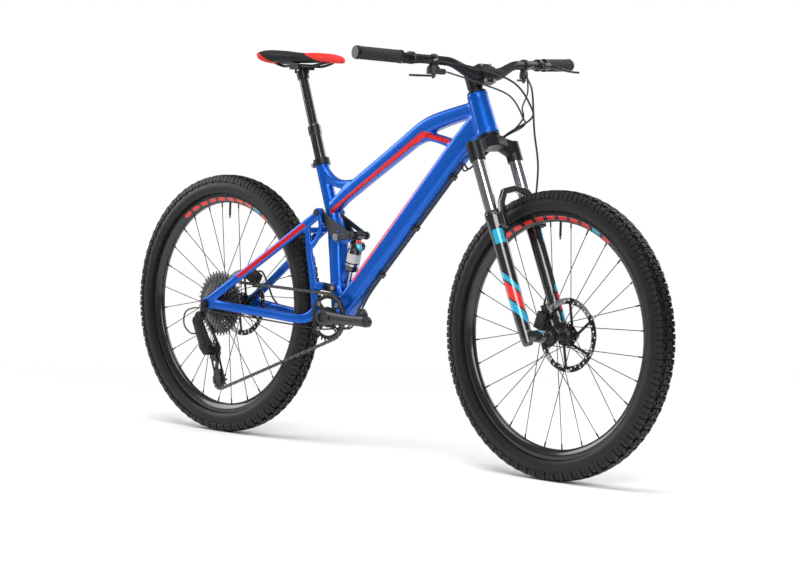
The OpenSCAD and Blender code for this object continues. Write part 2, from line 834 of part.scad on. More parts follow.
// Wheels: tyre, a carcass with a raised shoulder each side and three rows of blocks
crown_r = tyre_r - knob_h;
bulge_r = tyre_w / 2;
core_r = crown_r - bulge_r;
tyre_wall = 4;
bead_t = 3.5;
bead_gap = 0.3;
rim_in = rim_w / 2 - 2;
flange_h = 5.7;
centre_y = 8;
shoulder_in = 13;
shoulder_out = bulge_r - 5;
shoulder_drop = 2.6;
block_t = 3.4;
bead_line = 0.8;
bead_line_w = 1.2;
function side_y(r, b) = sqrt(max(0, b * b - (r - core_r) * (r - core_r)));
tyre_side = concat(
    [[rim_r + bead_gap, rim_in - bead_t], [rim_r + bead_gap, rim_in - bead_gap],
        [rim_r + flange_h + 0.5, rim_in - bead_gap]],
    [for (r = [rim_r + 8, rim_r + 14, core_r, core_r + 6, crown_r - 16]) [r, side_y(r, bulge_r)]],
    [[crown_r - 4, shoulder_out + 0.6], [crown_r - shoulder_drop, shoulder_in - 1.2], [crown_r - 1.2,
    centre_y + 1],
        [crown_r, 3]]);
tyre_inside = concat(
    [for (r = [crown_r - tyre_wall - 0.3, crown_r - 9, crown_r - 16, core_r + 4, core_r - 6, rim_r + 10])
        [r, side_y(r, bulge_r - tyre_wall)]],
    [[rim_r + 9, rim_in - bead_t]]);
function blocks(r0, r1, n, turn) =
    [for (k = [0:n - 1])
        each [for (q = [[0, r0], [0.06, r1], [0.56, r1], [0.62, r0]])
            let (a = (k + q[0] + turn) * 360 / n)
            q[1] * [cos(a), sin(a)]]];
module tread(y0, y1, r0, r1, turn) {
    translate([0, 0, y0])
        linear_extrude(y1 - y0)
            difference() {
                polygon(blocks(r0, r1, knob_n, turn));
                circle(r = r0 - block_t, $fn = 120);
            }
}
function turned_back(v) = [for (i = [len(v) - 1:-1:0]) v[i]];
function other_side(v) = [for (q = v) [q[0], -q[1]]];
module tyre(c) {
    turned(c)
        polygon(concat(tyre_side, turned_back(other_side(tyre_side)), other_side(turned_back(tyre_inside)),
            tyre_inside));
    turned(c)
        polygon([[crown_r - 2, -bead_line_w], [tyre_r, -bead_line_w], [tyre_r, bead_line_w],
            [crown_r - 2, bead_line_w]]);
    translate(c)
        rotate([-90, 0, 0]) {
            tread(-centre_y, centre_y, crown_r + 0.2, tyre_r - bead_line, 0);
            for (y = [shoulder_in, -shoulder_out])
                tread(y, y + shoulder_out - shoulder_in, crown_r - shoulder_drop + 0.2, tyre_r - 2, 0.5);
        }
}
module front_tyre() {
    color([0.03, 0.03, 0.03])
        tyre([front_x, 0, axle_z]);
}
module rear_tyre() {
    color([0.03, 0.03, 0.03])
        tyre(rear_axle_c);
}

// Wheels: rim with the valve
rim_deep = 19;
rim_side = [[rim_r - rim_deep, 4], [rim_r - 16, 9], [rim_r - 6, rim_w / 2], [rim_r + flange_h, rim_w / 2],
    [rim_r + flange_h, rim_in], [rim_r, rim_in], [rim_r, 8], [rim_r - 4, 6]];
module rim(c) {
    turned(c)
        polygon(concat(rim_side, turned_back(other_side(rim_side))));
    translate(c + [0, 0, rim_r - rim_deep - 34])
        cylinder(h = 36, r = 3);
    translate(c + [0, 0, rim_r - rim_deep - 42])
        cylinder(h = 9, r = 2);
}
module front_rim() {
    color([0.04, 0.04, 0.04])
        rim([front_x, 0, axle_z]);
}
module rear_rim() {
    color([0.04, 0.04, 0.04])
        rim(rear_axle_c);
}

// Wheels: crossed spokes with nipples, each lying against a hub flange
spoke_r = 1;
flange_t = 3;
flange_hole_r = 22;
elbow = 2;
lace = 76;
module spokes(c, y_left, y_right) {
    for (k = [0:spoke_n - 1]) {
        rim_a = 360 * (k + 0.5) / spoke_n;
        left = k % 2 == 0;
        lead = floor(k / 2) % 2 == 0;
        hub_a = rim_a + (lead ? lace : -lace);
        stand = left == lead ? elbow : 0;
        y_hub = (left ? y_left : y_right) + (lead ? 1 : -1) * (flange_t / 2 + spoke_r + stand);
        hub_p = c + [flange_hole_r * cos(hub_a), y_hub, flange_hole_r * sin(hub_a)];
        nipple_r = rim_r - rim_deep - slip;
        rim_p = c + [nipple_r * cos(rim_a), left ? 2.5 : -2.5, nipple_r * sin(rim_a)];
        d = unit(rim_p - hub_p);
        rod(hub_p, rim_p - d, spoke_r);
        rod(rim_p - 12 * d, rim_p, 1.9);
    }
}
front_flange = 28;
rear_flange_left = 34;
rear_flange_right = -20;
module front_spokes() {
    color([0.05, 0.05, 0.05])
        spokes([front_x, 0, axle_z], front_flange, -front_flange);
}
module rear_spokes() {
    color([0.05, 0.05, 0.05])
        spokes(rear_axle_c, rear_flange_left, rear_flange_right);
}

// Wheels: hubs
flange_r = flange_hole_r + 4;
hub_r = 13;
rotor_seat_r = 17;
module hub(c, bore, y_end, y_left, y_right, y_rotor) {
    f = flange_t / 2;
    inner = flange_hole_r - 1.6;
    turned(c)
        polygon([[bore, -y_end.y], [bore + 3, -y_end.y], [bore + 3, y_right - f - 3], [inner, y_right - f],
            [flange_r, y_right - f], [flange_r, y_right + f], [inner, y_right + f], [hub_r, y_right + 8],
            [hub_r, y_left - 8], [inner, y_left - f], [flange_r, y_left - f], [flange_r, y_left + f],
            [inner, y_left + f], [inner, y_rotor], [rotor_seat_r, y_rotor], [rotor_seat_r, y_rotor + 3],
            [bore + 3, y_rotor + 4], [bore + 3, y_end.x], [bore, y_end.x]]);
}
module front_hub() {
    color([0.05, 0.05, 0.05])
        hub([front_x, 0, axle_z], axle_r + run_fit, [lug_y - slip, lug_y - slip], front_flange, -front_flange,
            front_rotor_y);
}
drop_y = 71;
rear_axle_r = 6;
rear_rotor_y = 54;
module rear_hub() {
    color([0.05, 0.05, 0.05])
        hub(rear_axle_c, rear_axle_r + run_fit, [drop_y - slip, 25], rear_flange_left, rear_flange_right,
            rear_rotor_y);
}

// Wheels: brake rotors
arm_n = 6;
hole_n = 36;
module rotor(c, y) {
    translate([c.x, y + rotor_t, c.z])
        rotate([90, 0, 0])
            linear_extrude(rotor_t)
                difference() {
                    union() {
                        difference() {
                            circle(d = rotor_d, $fn = 120);
                            circle(r = rotor_d / 2 - 15, $fn = 120);
                        }
                        for (k = [0:arm_n - 1])
                            let (a = k * 360 / arm_n)
                            strap(25 * [cos(a), sin(a)], (rotor_d / 2 - 11) * [cos(a + 28), sin(a + 28)], 7);
                        circle(r = 28);
                    }
                    circle(r = rotor_seat_r + 0.02);
                    for (k = [0:hole_n - 1])
                        let (a = k * 360 / hole_n, r = rotor_d / 2 - 5 - 3.2 * (k % 3))
                        translate([r * cos(a), r * sin(a)])
                            circle(r = 2.2, $fn = 16);
                    for (k = [0:arm_n - 1])
                        let (a = 30 + k * 360 / arm_n)
                        translate(22 * [cos(a), sin(a)])
                            circle(r = 2.6, $fn = 16);
                }
}
module front_rotor() {
    color([0.6, 0.6, 0.6])
        rotor([front_x, 0, axle_z], front_rotor_y);
}
module rear_rotor() {
    color([0.6, 0.6, 0.6])
        rotor(rear_axle_c, rear_rotor_y);
}

// Cassette on its freehub body
cog_n = [11, 13, 15, 17, 19, 22, 25, 28, 32, 36, 42];
cog_step = 3.9;
cog_t = 1.6;
cog_sel = 8;
freehub_r = 17.5;
function cog_y(i) = 5 - drop_y + cog_step * i;
chain_y = cog_y(cog_sel);

// Chain path: ring, tension pulley, guide pulley, cog, drawn in the side view
pulley_n = 12;
ring_y = -51;
guide_c = rear_axle_c + [-13, 0, -128];
tension_c = rear_axle_c + [18, 0, -206];
wheel_c = [flat(bb), flat(tension_c), flat(guide_c), flat(rear_axle_c)];
wheel_n = [ring_n, pulley_n, pulley_n, cog_n[cog_sel]];
wheel_s = [-1, -1, 1, -1];
function belt(i, j) =
    let (v = wheel_c[j] - wheel_c[i], r1 = wheel_s[i] * pitch_r(wheel_n[i]),
        r2 = wheel_s[j] * pitch_r(wheel_n[j]))
    atan2(v.y, v.x) - asin((r2 - r1) / norm(v));
function off_a(i, th) = wheel_s[i] > 0 ? th - 90 : th + 90;
function on_a(i) = off_a(i, belt((i + 3) % 4, i));
function turn_left(a) = a - 360 * floor(a / 360);
function span(i) = turn_left(wheel_s[i] * (off_a(i, belt(i, (i + 1) % 4)) - on_a(i)));
function links(i) = round(span(i) * wheel_n[i] / 360);
function roller(i, k) =
    let (a = on_a(i) + wheel_s[i] * k * 360 / wheel_n[i])
    wheel_c[i] + pitch_r(wheel_n[i]) * [cos(a), sin(a)];
function wheel_y(i) = i == 0 ? ring_y : chain_y;
// Links that run straight on past each wheel before a run slants across to the next one
function lead_n(i) = wheel_y(i) == wheel_y((i + 1) % 4) ? 1 : 3;
function run_dir(i) = unit(roller((i + 1) % 4, 0) - roller(i, links(i)));
function leave(i, m) = roller(i, links(i)) + m * pitch * run_dir(i);
function meet(i, m) = roller(i, 0) - m * pitch * run_dir((i + 3) % 4);
function wheel_path(i) =
    concat([for (m = [lead_n((i + 3) % 4):-1:1]) meet(i, m)], [for (k = [0:links(i)]) roller(i, k)],
        [for (m = [1:lead_n(i)]) leave(i, m)]);
function lift(p, y) = [p.x, y, p.y];

module cassette() {
    color([0.3, 0.3, 0.31])
        translate(rear_axle_c)
            rotate([90, 0, 0])
                difference() {
                    union() {
                        for (i = [0:len(cog_n) - 1])
                            translate([0, 0, -cog_y(i) - cog_t / 2])
                                linear_extrude(cog_t)
                                    difference() {
                                        polygon(teeth(cog_n[i], on_a(3)));
                                        if (cog_n[i] > 24)
                                            for (k = [0:5])
                                                rotate(k * 60)
                                                    translate([(freehub_r + pitch_r(cog_n[i])) / 2, 0])
                                                        circle(d = (pitch_r(cog_n[i]) - freehub_r) * 0.62);
                                    }
                        translate([0, 0, -cog_y(len(cog_n) - 1) - 2])
                            cylinder(h = cog_y(len(cog_n) - 1) - cog_y(0) + 3.5, r = freehub_r);
                    }
                    cylinder(h = 100, r = rear_axle_r + run_fit);
                }
}

// Rear triangle
function stay(s, x, y, z) = back(x, s * y, z);
function chainstay(s) = [[stay(s, -203, 39.5, 378), 5.5, 12], [stay(s, -212, 40, 352), 6, 13],
    [stay(s, -236, 43, 335), 7, 13], [stay(s, -275, 48, 331), 7.5, 12], [stay(s, -350, 51, 335), 8, 11.5],
    [stay(s, -440, 59, 341), 8, 11.5], [stay(s, -510, 71, 346), 7.5, 12], [stay(s, -560, 75, 349), 5, 13],
    [stay(s, -596, 75, 350), 4, 14]];
function seatstay(s) = [[stay(s, -204, 39.5, 616), 5.5, 9], [stay(s, -222, 40, 597), 6, 12],
    [stay(s, -262, 43, 571), 6.5, 12], [stay(s, -340, 50, 520), 6.5, 11.5], [stay(s, -430, 60, 461), 6.5, 11],
    [stay(s, -510, 71, 408), 6, 11], [stay(s, -558, 75, 377), 5, 12], [stay(s, -590, 75, 357), 4, 13]];
function strut(s) = [[stay(s, -246, 41.5, 584), 5.5, 9], [stay(s, -241, 41, 545), 5.5, 9],
    [stay(s, -232, 40, 490), 5.5, 10], [stay(s, -219, 39.5, 430), 5.5, 11],
    [stay(s, -208, 39.5, 358), 5.5, 12]];
function rib(s) = [[stay(s, -205, 39.5, 606), 5, 7], [stay(s, -197, 39.5, 580), 5, 6],
    [stay(s, -203, 39.5, 553), 5, 6], [stay(s, -220, 39.5, 530), 5, 6.5],
    [stay(s, -238, 40.5, 514), 5, 7]];
function ear(s) = [[stay(s, -191, 39.5, 420), 5.5, 9], [stay(s, -206, 39.5, 422), 5.5, 10],
    [stay(s, -221, 39.5, 428), 5.5, 12]];
stay_in = 34;
stay_out = 45;
drop_t = 8;
module mirrored_across(c, y0, y1, r) {
    across(c, y0, y1, r);
    across(c, -y1, -y0, r);
}
module rear_triangle() {
    color([0.05, 0.18, 0.68])
        difference() {
            union() {
                for (s = [-1, 1]) {
                    loft(chainstay(s), 3.5, 14);
                    loft(seatstay(s), 3.5, 14);
                    loft(strut(s), 3.5, 14);
                    loft(rib(s), 3, 10);
                    loft(ear(s), 3, 10);
                }
                across(back(-266, 0, 562), -43, 43, 8);
                across(back(-228, 0, 346), -43, 43, 8);
                mirrored_across(pivot_stay, stay_in, stay_out, 12);
                mirrored_across(low_stay, stay_in, stay_out, 11);
                mirrored_across(low_stay, 27, stay_in + 1, pin_r);
                mirrored_across(rear_axle_c, drop_y, drop_y + drop_t, 17);
            }
            across(pivot_stay, -60, 60, pin_r + run_fit);
            across(rear_axle_c, -100, 100, rear_axle_r);
        }
}
module rear_axle() {
    color([0.08, 0.08, 0.08]) {
        across(rear_axle_c, -drop_y - drop_t - 5, drop_y + drop_t + 1, rear_axle_r - 0.02);
        across(rear_axle_c, -drop_y - drop_t - 9, -drop_y - drop_t - 5, 9);
        across(rear_axle_c, drop_y + drop_t, drop_y + drop_t + 5, 11);
    }
}
rear_caliper_a = 62;
module rear_caliper() {
    color([0.16, 0.16, 0.17])
        difference() {
            union() {
                translate(rear_axle_c)
                    rotate([0, 90 - rear_caliper_a, 0])
                        translate([0, 0, rotor_d / 2 - 6])
                            caliper(rear_rotor_y, rear_rotor_y + rotor_t);
                translate(rear_axle_c + [34, rear_rotor_y + 4, 44])
                    cube([18, 10, 36]);
            }
            loft(seatstay(1), 3.5, 14);
            translate(rear_axle_c + [0, rear_rotor_y - 1.2, 0])
                rotate([-90, 0, 0])
                    cylinder(h = rotor_t + 2.4, r = rotor_d / 2 + 2);
        }
}

// Rear brake hose and gear cable beyond the bottom bracket, bending with the suspension
module rear_hoses() {
    color([0.02, 0.02, 0.02]) {
        hose([near(-151.05, 2 * hose_y + 0.35, 312.75), back(-190, 24, 308), back(-240, 46, 308),
            back(-290, 63, 316), back(-340, 65, 330), back(-440, 72, 338), back(-505, 84, 362),
            back(-530, 84, 400), back(-540, 72, 434), back(-552, 66, 438)], hose_r, 5);
        hose([near(-151.05, -2 * hose_y - 0.35, 312.75), back(-190, -26, 308), back(-240, -40, 311),
            back(-350, -48, 317), back(-450, -57, 323), back(-530, -82, 327), back(-600, -98, 338),
            back(-652, -102, 326), back(-660, -102, 290), back(-638, -98, 268), back(-622, -90, 267)],
            hose_r - 0.4, 5);
    }
}

// Rear derailleur: hanger, knuckles and body
knuckle_p = rear_axle_c + [-7, 0, -34];
cage_half = 8;
module derailleur_body() {
    color([0.05, 0.05, 0.055])
        difference() {
            union() {
                plate(-drop_y - drop_t - 5, -drop_y - drop_t)
                    strap(flat(rear_axle_c), flat(knuckle_p), 24);
                across(knuckle_p, -drop_y - drop_t - 19, -drop_y - drop_t - 4.8, 13);
                hull() {
                    across(knuckle_p - [4, 0, 8], -drop_y - drop_t - 18, -drop_y - drop_t - 6, 11, $fn = 32);
                    across(guide_c + [-2, 0, 14], chain_y - 32, chain_y - 14, 11, $fn = 32);
                }
                across(guide_c, chain_y - 28, chain_y - cage_half - 0.5, 12);
            }
            across(rear_axle_c, -drop_y - drop_t - 6, -drop_y, rear_axle_r);
        }
}
module derailleur_cage() {
    color([0.07, 0.07, 0.075]) {
        for (y = [chain_y - cage_half, chain_y + cage_half - 2.4])
            plate(y, y + 2.4)
                difference() {
                    strap(flat(guide_c), flat(tension_c), 22);
                    strap(flat(guide_c + (tension_c - guide_c) * 0.42),
                        flat(guide_c + (tension_c - guide_c) * 0.6), 9);
                }
        for (c = [guide_c, tension_c])
            across(c, chain_y - cage_half + 1, chain_y + cage_half - 1, 2.5);
    }
}
module pulley(i, c) {
    color([0.08, 0.08, 0.08])
        difference() {
            union() {
                plate(chain_y - 1.1, chain_y + 1.1)
                    translate(flat(c))
                        polygon(teeth(pulley_n, on_a(i)));
                across(c, chain_y - cage_half + 2.8, chain_y + cage_half - 2.8, 7);
            }
            across(c, chain_y - cage_half, chain_y + cage_half, 2.5 + run_fit);
        }
}
module pulley_guide() {
    pulley(2, guide_c);
}
module pulley_tension() {
    pulley(1, tension_c);
}

// Suspension links
link_in = 26;
link_out = 33;
low_in = 28;
low_out = 31.5;
module upper_link() {
    color([0.2, 0.19, 0.19])
        for (y = [link_in, -link_out])
            plate(y, y + link_out - link_in)
                difference() {
                    union() {
                        strap(flat(pivot_stay), flat(pivot_frame), 25);
                        strap(flat(pivot_frame), flat(pivot_shock), 22);
                        strap(flat(pivot_stay), flat(pivot_shock), 13);
                    }
                    translate(flat(pivot_stay))
                        circle(r = pin_r);
                    translate(flat(pivot_frame))
                        circle(r = pin_r + run_fit);
                    translate(flat(pivot_shock))
                        circle(r = 4);
                }
}
module link_bolts() {
    color([0.62, 0.63, 0.65]) {
        mirrored_across(pivot_stay, link_in, stay_out + 1.1, pin_r - 0.02);
        mirrored_across(pivot_stay, stay_out + 1.1, stay_out + 3.6, 9);
        across(pivot_shock, -link_out - 0.2, link_out + 0.2, 3.98);
        mirrored_across(pivot_shock, link_out, link_out + 3, 8);
        for (s = [-1, 1])
            difference() {
                across(pivot_shock, s > 0 ? 12.4 : -link_in, s > 0 ? link_in : -12.4, 7);
                across(pivot_shock, -40, 40, 3.9);
            }
    }
}
module lower_link() {
    color([0.2, 0.19, 0.19])
        for (y = [low_in, -low_out])
            plate(y, y + low_out - low_in)
                difference() {
                    strap(flat(low_frame), flat(low_stay), 21);
                    translate(flat(low_frame))
                        circle(r = pin_r + run_fit);
                    translate(flat(low_stay))
                        circle(r = pin_r + open_fit);
                }
}

// Shock: air can with its head, and the shaft with the lower eye
can_top = 13;
can_len = 82;
shaft_r = 6;
module shock_can() {
    color([0.05, 0.05, 0.05])
        difference() {
            union() {
                across(pivot_shock, -12, 12, 11);
                on_shock(shock_len - can_top - can_len)
                    rotate_extrude()
                        polygon([[0, 0], [can_r - 3, 0], [can_r, 3], [can_r, 58], [can_r - 1.5, 60],
                            [can_r - 1.5, 70], [12, can_len], [10, can_len + 4], [0, can_len + 4]]);
                on_shock(shock_len - 24)
                    translate([0, 10, 0])
                        rotate([-90, 0, 0])
                            cylinder(h = 14, r = 6);
            }
            across(pivot_shock, -20, 20, 4 + open_fit);
            on_shock(shock_len - can_top - can_len - 1)
                cylinder(h = 66, r = shaft_r + run_fit);
        }
}
module shock_shaft() {
    color([0.7, 0.7, 0.72])
        difference() {
            union() {
                across(shock_foot, -12, 12, 11);
                on_shock(6)
                    cylinder(h = 16, r = 10);
                on_shock(8)
                    cylinder(h = 92, r = shaft_r);
            }
            across(shock_foot, -20, 20, 4);
        }
}

// Cranks
arm_in = 60;
ring_boss = 6;
arm_out = 76;
pedal_in = 74;
pedal_out = 88;
module crank(s) {
    p = bb + [-s * crank_len, 0, 0];
    difference() {
        union() {
            hull() {
                across(bb, s > 0 ? arm_in : -arm_out, s > 0 ? arm_out : -arm_in, 17, $fn = 32);
                across(p, s > 0 ? pedal_in : -pedal_out, s > 0 ? pedal_out : -pedal_in, 12.5, $fn = 32);
            }
            across(bb, s > 0 ? arm_in - 13 : -arm_out - 1, s > 0 ? arm_out + 1 : ring_y - ring_boss, 19);
            across(p, s > 0 ? pedal_in : -pedal_out, s > 0 ? pedal_out : -pedal_in, 13.5);
        }
        across(p, -pedal_out - 1, pedal_out + 1, pedal_r);
        across(bb, s > 0 ? 40 : -arm_in - 2, s > 0 ? arm_in + 10 : -40, spindle_r + run_fit);
        across(bb, s > 0 ? arm_out - 4 : -arm_out - 2, s > 0 ? arm_out + 2 : -arm_out + 4, 9);
    }
}
module crank_right() {
    color([0.04, 0.04, 0.04]) {
        crank(-1);
        across(bb, slip - arm_in - 2, arm_in + 10 - slip, spindle_r);
    }
}
module crank_left() {
    color([0.04, 0.04, 0.04])
        crank(1);
}
spider_n = 4;
module chainring() {
    color([0.06, 0.06, 0.06]) {
        plate(ring_y - 1, ring_y + 1)
            translate(flat(bb)) {
                difference() {
                    polygon(teeth(ring_n, on_a(0)));
                    circle(r = pitch_r(ring_n) - 13);
                }
                for (k = [0:spider_n - 1])
                    rotate(45 + k * 360 / spider_n)
                        strap([23, 0], [pitch_r(ring_n) - 10, 0], 13);
                difference() {
                    circle(r = 27);
                    circle(r = spindle_r + 0.02);
                }
            }
        difference() {
            across(bb, ring_y - ring_boss, ring_y - 1, 24);
            across(bb, ring_y - ring_boss - 2, ring_y, spindle_r + 0.02);
        }
    }
}

// Chain: side plates as scalloped bands with the rollers between them
link_h = 4.2;
waist = 3.3;
plate_in = 1.25;
plate_out = 2.7;
roller_r = 3.4;
function shift(p, i, h) =
    let (a = p[max(i - 1, 0)], b = p[min(i + 1, len(p) - 1)], d = unit(b - a))
    p[i] + h * [-d.y, d.x];
function edge(p, h) =
    [for (i = [0:len(p) - 1], m = [0, 1])
        if (m == 0 || i < len(p) - 1)
            m == 0 ? shift(p, i, sign(h) * link_h) : (shift(p, i, h) + shift(p, i + 1, h)) / 2];
// Straight runs are a hair wider than the bands on the sprockets, their rollers slimmer: no faces coincide
run_more = 0.2;
module band(p, more) {
    half = plate_in + more;
    for (y = [-plate_out - more, half])
        translate([0, 0, y])
            linear_extrude(plate_out - plate_in) {
                polygon(concat(edge(p, waist), turned_back(edge(p, -waist))));
                for (c = [p[0], p[len(p) - 1]])
                    translate(c)
                        circle(r = link_h + more);
            }
    for (c = p)
        translate([c.x, c.y, -half - 0.1])
            cylinder(h = 2 * half + 0.2, r = roller_r - 3 * more, $fn = 16);
}
module chain_run(i) {
    j = (i + 1) % 4;
    a = lift(leave(i, lead_n(i)), wheel_y(i));
    b = lift(meet(j, lead_n(i)), wheel_y(j));
    d = b - a;
    n = round(norm(d) / pitch);
    translate(a)
        rotate([0, -asin(d.z / norm(d)), atan2(d.y, d.x)])
            rotate([90, 0, 0])
                band([for (k = [0:n]) [norm(d) * k / n, 0]], run_more);
}
module chain() {
    color([0.55, 0.55, 0.56])
        for (i = [0:3]) {
            translate([0, wheel_y(i), 0])
                rotate([90, 0, 0])
                    band(wheel_path(i), 0);
            chain_run(i);
        }
}

// Dropper's sliding tube
head_t = post_drop + collar_h + 4 + post_show;
rest_p = seat(head_t);
module dropper_upper() {
    color([0.05, 0.05, 0.055])
        on_seat(-30)
            cylinder(h = head_t + 30, r = slide_r);
}

// Saddle clamp on top of the post
rail_y = 22;
rail_z = 12;
rail_r = 3.5;
module seat_head() {
    color([0.08, 0.08, 0.085])
        difference() {
            union() {
                on_seat(head_t - 22)
                    cylinder(h = 22, r = slide_r + 3);
                translate(rest_p + [-17, -rail_y - 7, rail_z - 9])
                    cube([34, 2 * rail_y + 14, 15]);
                for (x = [-24, 24])
                    translate(rest_p + [x, 0, rail_z - 18]) {
                        cylinder(h = 23.5, r = 3);
                        translate([-7 - (x > 0 ? 3 : 0), -6, 10])
                            cube([17, 12, 8]);
                    }
            }
            on_seat(head_t - 60)
                cylinder(h = 60, r = slide_r + 0.01);
            for (s = [-1, 1])
                translate(rest_p + [-40, s * rail_y, rail_z])
                    rotate([0, 90, 0])
                        cylinder(h = 80, r = rail_r + 0.05);
        }
}

// Saddle and its rails
saddle_k = saddle_len / 266;
saddle_ky = saddle_w / 140;
function rail(s) = [for (q = [[112, 9, 23.5], [84, 17, 17], [52, rail_y, rail_z], [26, rail_y, rail_z],
    [-26, rail_y, rail_z], [-48, rail_y + 1, rail_z], [-72, 32, 21], [-86, 38, 30]])
    rest_p + [q[0] * saddle_k, s * q[1], q[2]]];
saddle_s = [for (q = [[153, 27, 7, 4], [149, 27.5, 14, 8], [138, 29.5, 18, 11], [110, 32.5, 21, 13],
    [60, 34, 25, 14], [10, 34, 34, 14.5], [-35, 35, 50, 15.5], [-70, 34.5, 65, 19.5], [-95, 36, 70, 19],
    [-108, 40, 66, 14], [-113, 44, 56, 7]]) [rest_p + [q[0] * saddle_k, 0, q[1]], q[2] * saddle_ky,
    q[3]]];
module saddle_rails() {
    color([0.1, 0.1, 0.1])
        for (s = [-1, 1])
            hose(rail(s), rail_r, 4);
}
module saddle() {
    color([0.05, 0.05, 0.05])
        difference() {
            loft(saddle_s, 2.6, 24);
            for (s = [-1, 1])
                hose(rail(s), rail_r + 0.05, 4);
        }
}

front_frame();
bearing_cups();
seat_clamp();
frame_bolts();
dropper_outer();
hose_clips();
frame_hoses();
crown_steerer();
stanchions();
headset_spacers();
stem();
stem_faceplate();
stem_bolts();
handlebar();
grips();
grip_rings();
brake_bodies();
brake_lever_right();
brake_lever_left();
shifter_body();
shift_paddle();
remote_body();
remote_lever();
steering_hoses();
front_brake_hose();
fork_lowers();
front_caliper();
front_axle();
front_tyre();
front_rim();
front_spokes();
front_hub();
front_rotor();
rear_tyre();
rear_rim();
rear_spokes();
rear_hub();
rear_rotor();
cassette();
rear_triangle();
rear_axle();
rear_caliper();
rear_hoses();
derailleur_body();
derailleur_cage();
pulley_guide();
pulley_tension();
upper_link();
link_bolts();
lower_link();
shock_can();
shock_shaft();
crank_right();
crank_left();
chainring();
chain();
dropper_upper();
seat_head();
saddle_rails();
saddle();
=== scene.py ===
import math

import bmesh
import bpy
import numpy as np
from mathutils import Matrix, Vector


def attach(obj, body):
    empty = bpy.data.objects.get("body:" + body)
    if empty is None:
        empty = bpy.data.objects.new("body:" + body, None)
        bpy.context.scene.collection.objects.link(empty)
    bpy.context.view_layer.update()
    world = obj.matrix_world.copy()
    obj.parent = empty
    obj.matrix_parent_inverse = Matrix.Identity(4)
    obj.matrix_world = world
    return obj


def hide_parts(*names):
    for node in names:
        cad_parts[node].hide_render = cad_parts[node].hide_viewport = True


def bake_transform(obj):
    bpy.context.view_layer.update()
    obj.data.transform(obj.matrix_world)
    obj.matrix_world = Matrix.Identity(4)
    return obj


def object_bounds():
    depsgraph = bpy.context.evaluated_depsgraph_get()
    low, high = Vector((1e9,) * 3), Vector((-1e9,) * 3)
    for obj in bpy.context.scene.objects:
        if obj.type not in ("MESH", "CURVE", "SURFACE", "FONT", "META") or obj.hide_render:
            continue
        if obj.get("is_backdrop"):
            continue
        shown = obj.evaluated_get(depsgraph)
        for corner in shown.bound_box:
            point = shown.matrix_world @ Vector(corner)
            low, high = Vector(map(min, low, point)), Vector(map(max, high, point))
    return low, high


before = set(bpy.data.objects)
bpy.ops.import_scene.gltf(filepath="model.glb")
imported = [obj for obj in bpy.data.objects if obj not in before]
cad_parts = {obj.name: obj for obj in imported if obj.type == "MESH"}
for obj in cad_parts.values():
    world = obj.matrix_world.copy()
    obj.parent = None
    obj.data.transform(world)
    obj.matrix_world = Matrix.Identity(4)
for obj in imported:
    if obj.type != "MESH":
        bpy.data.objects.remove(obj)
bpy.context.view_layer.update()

# Front frame. Shaped aluminium tubes, welded, ground at the joints and sprayed in pearl blue under clear
# lacquer, with red side stripes. The tubes are lofted, fused on a fine grid and smoothed into their welds.
MM = 0.001
HEAD_ANGLE = math.radians(67)
SEAT_ANGLE = math.radians(70)
FORK_OFFSET = 42
AXLE_FRONT = Vector((600, 0, 349))
HEAD_UP = Vector((-math.cos(HEAD_ANGLE), 0, math.sin(HEAD_ANGLE)))
HEAD_AHEAD = Vector((math.sin(HEAD_ANGLE), 0, math.cos(HEAD_ANGLE)))
HEAD_FOOT = AXLE_FRONT - FORK_OFFSET * HEAD_AHEAD
SEAT_UP = Vector((-math.cos(SEAT_ANGLE), 0, math.sin(SEAT_ANGLE)))
SEAT_TOP = Vector((-244, 0, 748))
BB = Vector((-148, 0, 343))


def on_head(t, x=0.0, y=0.0):
    return HEAD_FOOT + HEAD_UP * t + HEAD_AHEAD * x + Vector((0, y, 0))


def on_seat(t):
    return SEAT_TOP + SEAT_UP * t


def curved(stations, cuts):
    """Stations of numbers refined along a smooth curve that passes through all of them."""
    rows = [np.concatenate([np.ravel(part) for part in station]).astype(float) for station in stations]
    fine = []
    for i in range(len(rows) - 1):
        before, a, b, after = rows[max(i - 1, 0)], rows[i], rows[i + 1], rows[min(i + 2, len(rows) - 1)]
        for k in range(cuts):
            u = k / cuts
            fine.append(0.5 * (2 * a + (b - before) * u + (2 * before - 5 * a + 4 * b - after) * u * u
                               + (3 * a - before - 3 * b + after) * u ** 3))
    return [(Vector(r[:3]), *r[3:]) for r in fine + [rows[-1]]]


def rim_of(ring):
    return list({e for v in ring for e in v.link_edges})


def skin(bm, rims):
    for a, b in zip(rims, rims[1:]):
        bmesh.ops.bridge_loops(bm, edges=a + b)


def squared(c, power):
    return math.copysign(abs(c) ** (2 / power), c)


def loft(bm, stations, power, sides=32, cuts=4):
    """Tube through stations of centre, half width across and half depth in the side view, in millimetres."""
    rows = curved(stations, cuts)
    rims = []
    for i, (centre, half_y, half_d) in enumerate(rows):
        run = (rows[min(i + 1, len(rows) - 1)][0] - rows[max(i - 1, 0)][0]).normalized()
        wide = (Vector((0, 1, 0)) - run * run.y).normalized()
        deep = run.cross(wide)
        ends = i in (0, len(rows) - 1)
        ring = bmesh.ops.create_circle(bm, cap_ends=ends, segments=sides, radius=1.0)["verts"]
        for v in ring:
            x, y = squared(v.co.x, power), squared(v.co.y, power)
            v.co = (centre + wide * half_y * x + deep * half_d * y) * MM
        rims.append(rim_of(ring))
    skin(bm, rims)


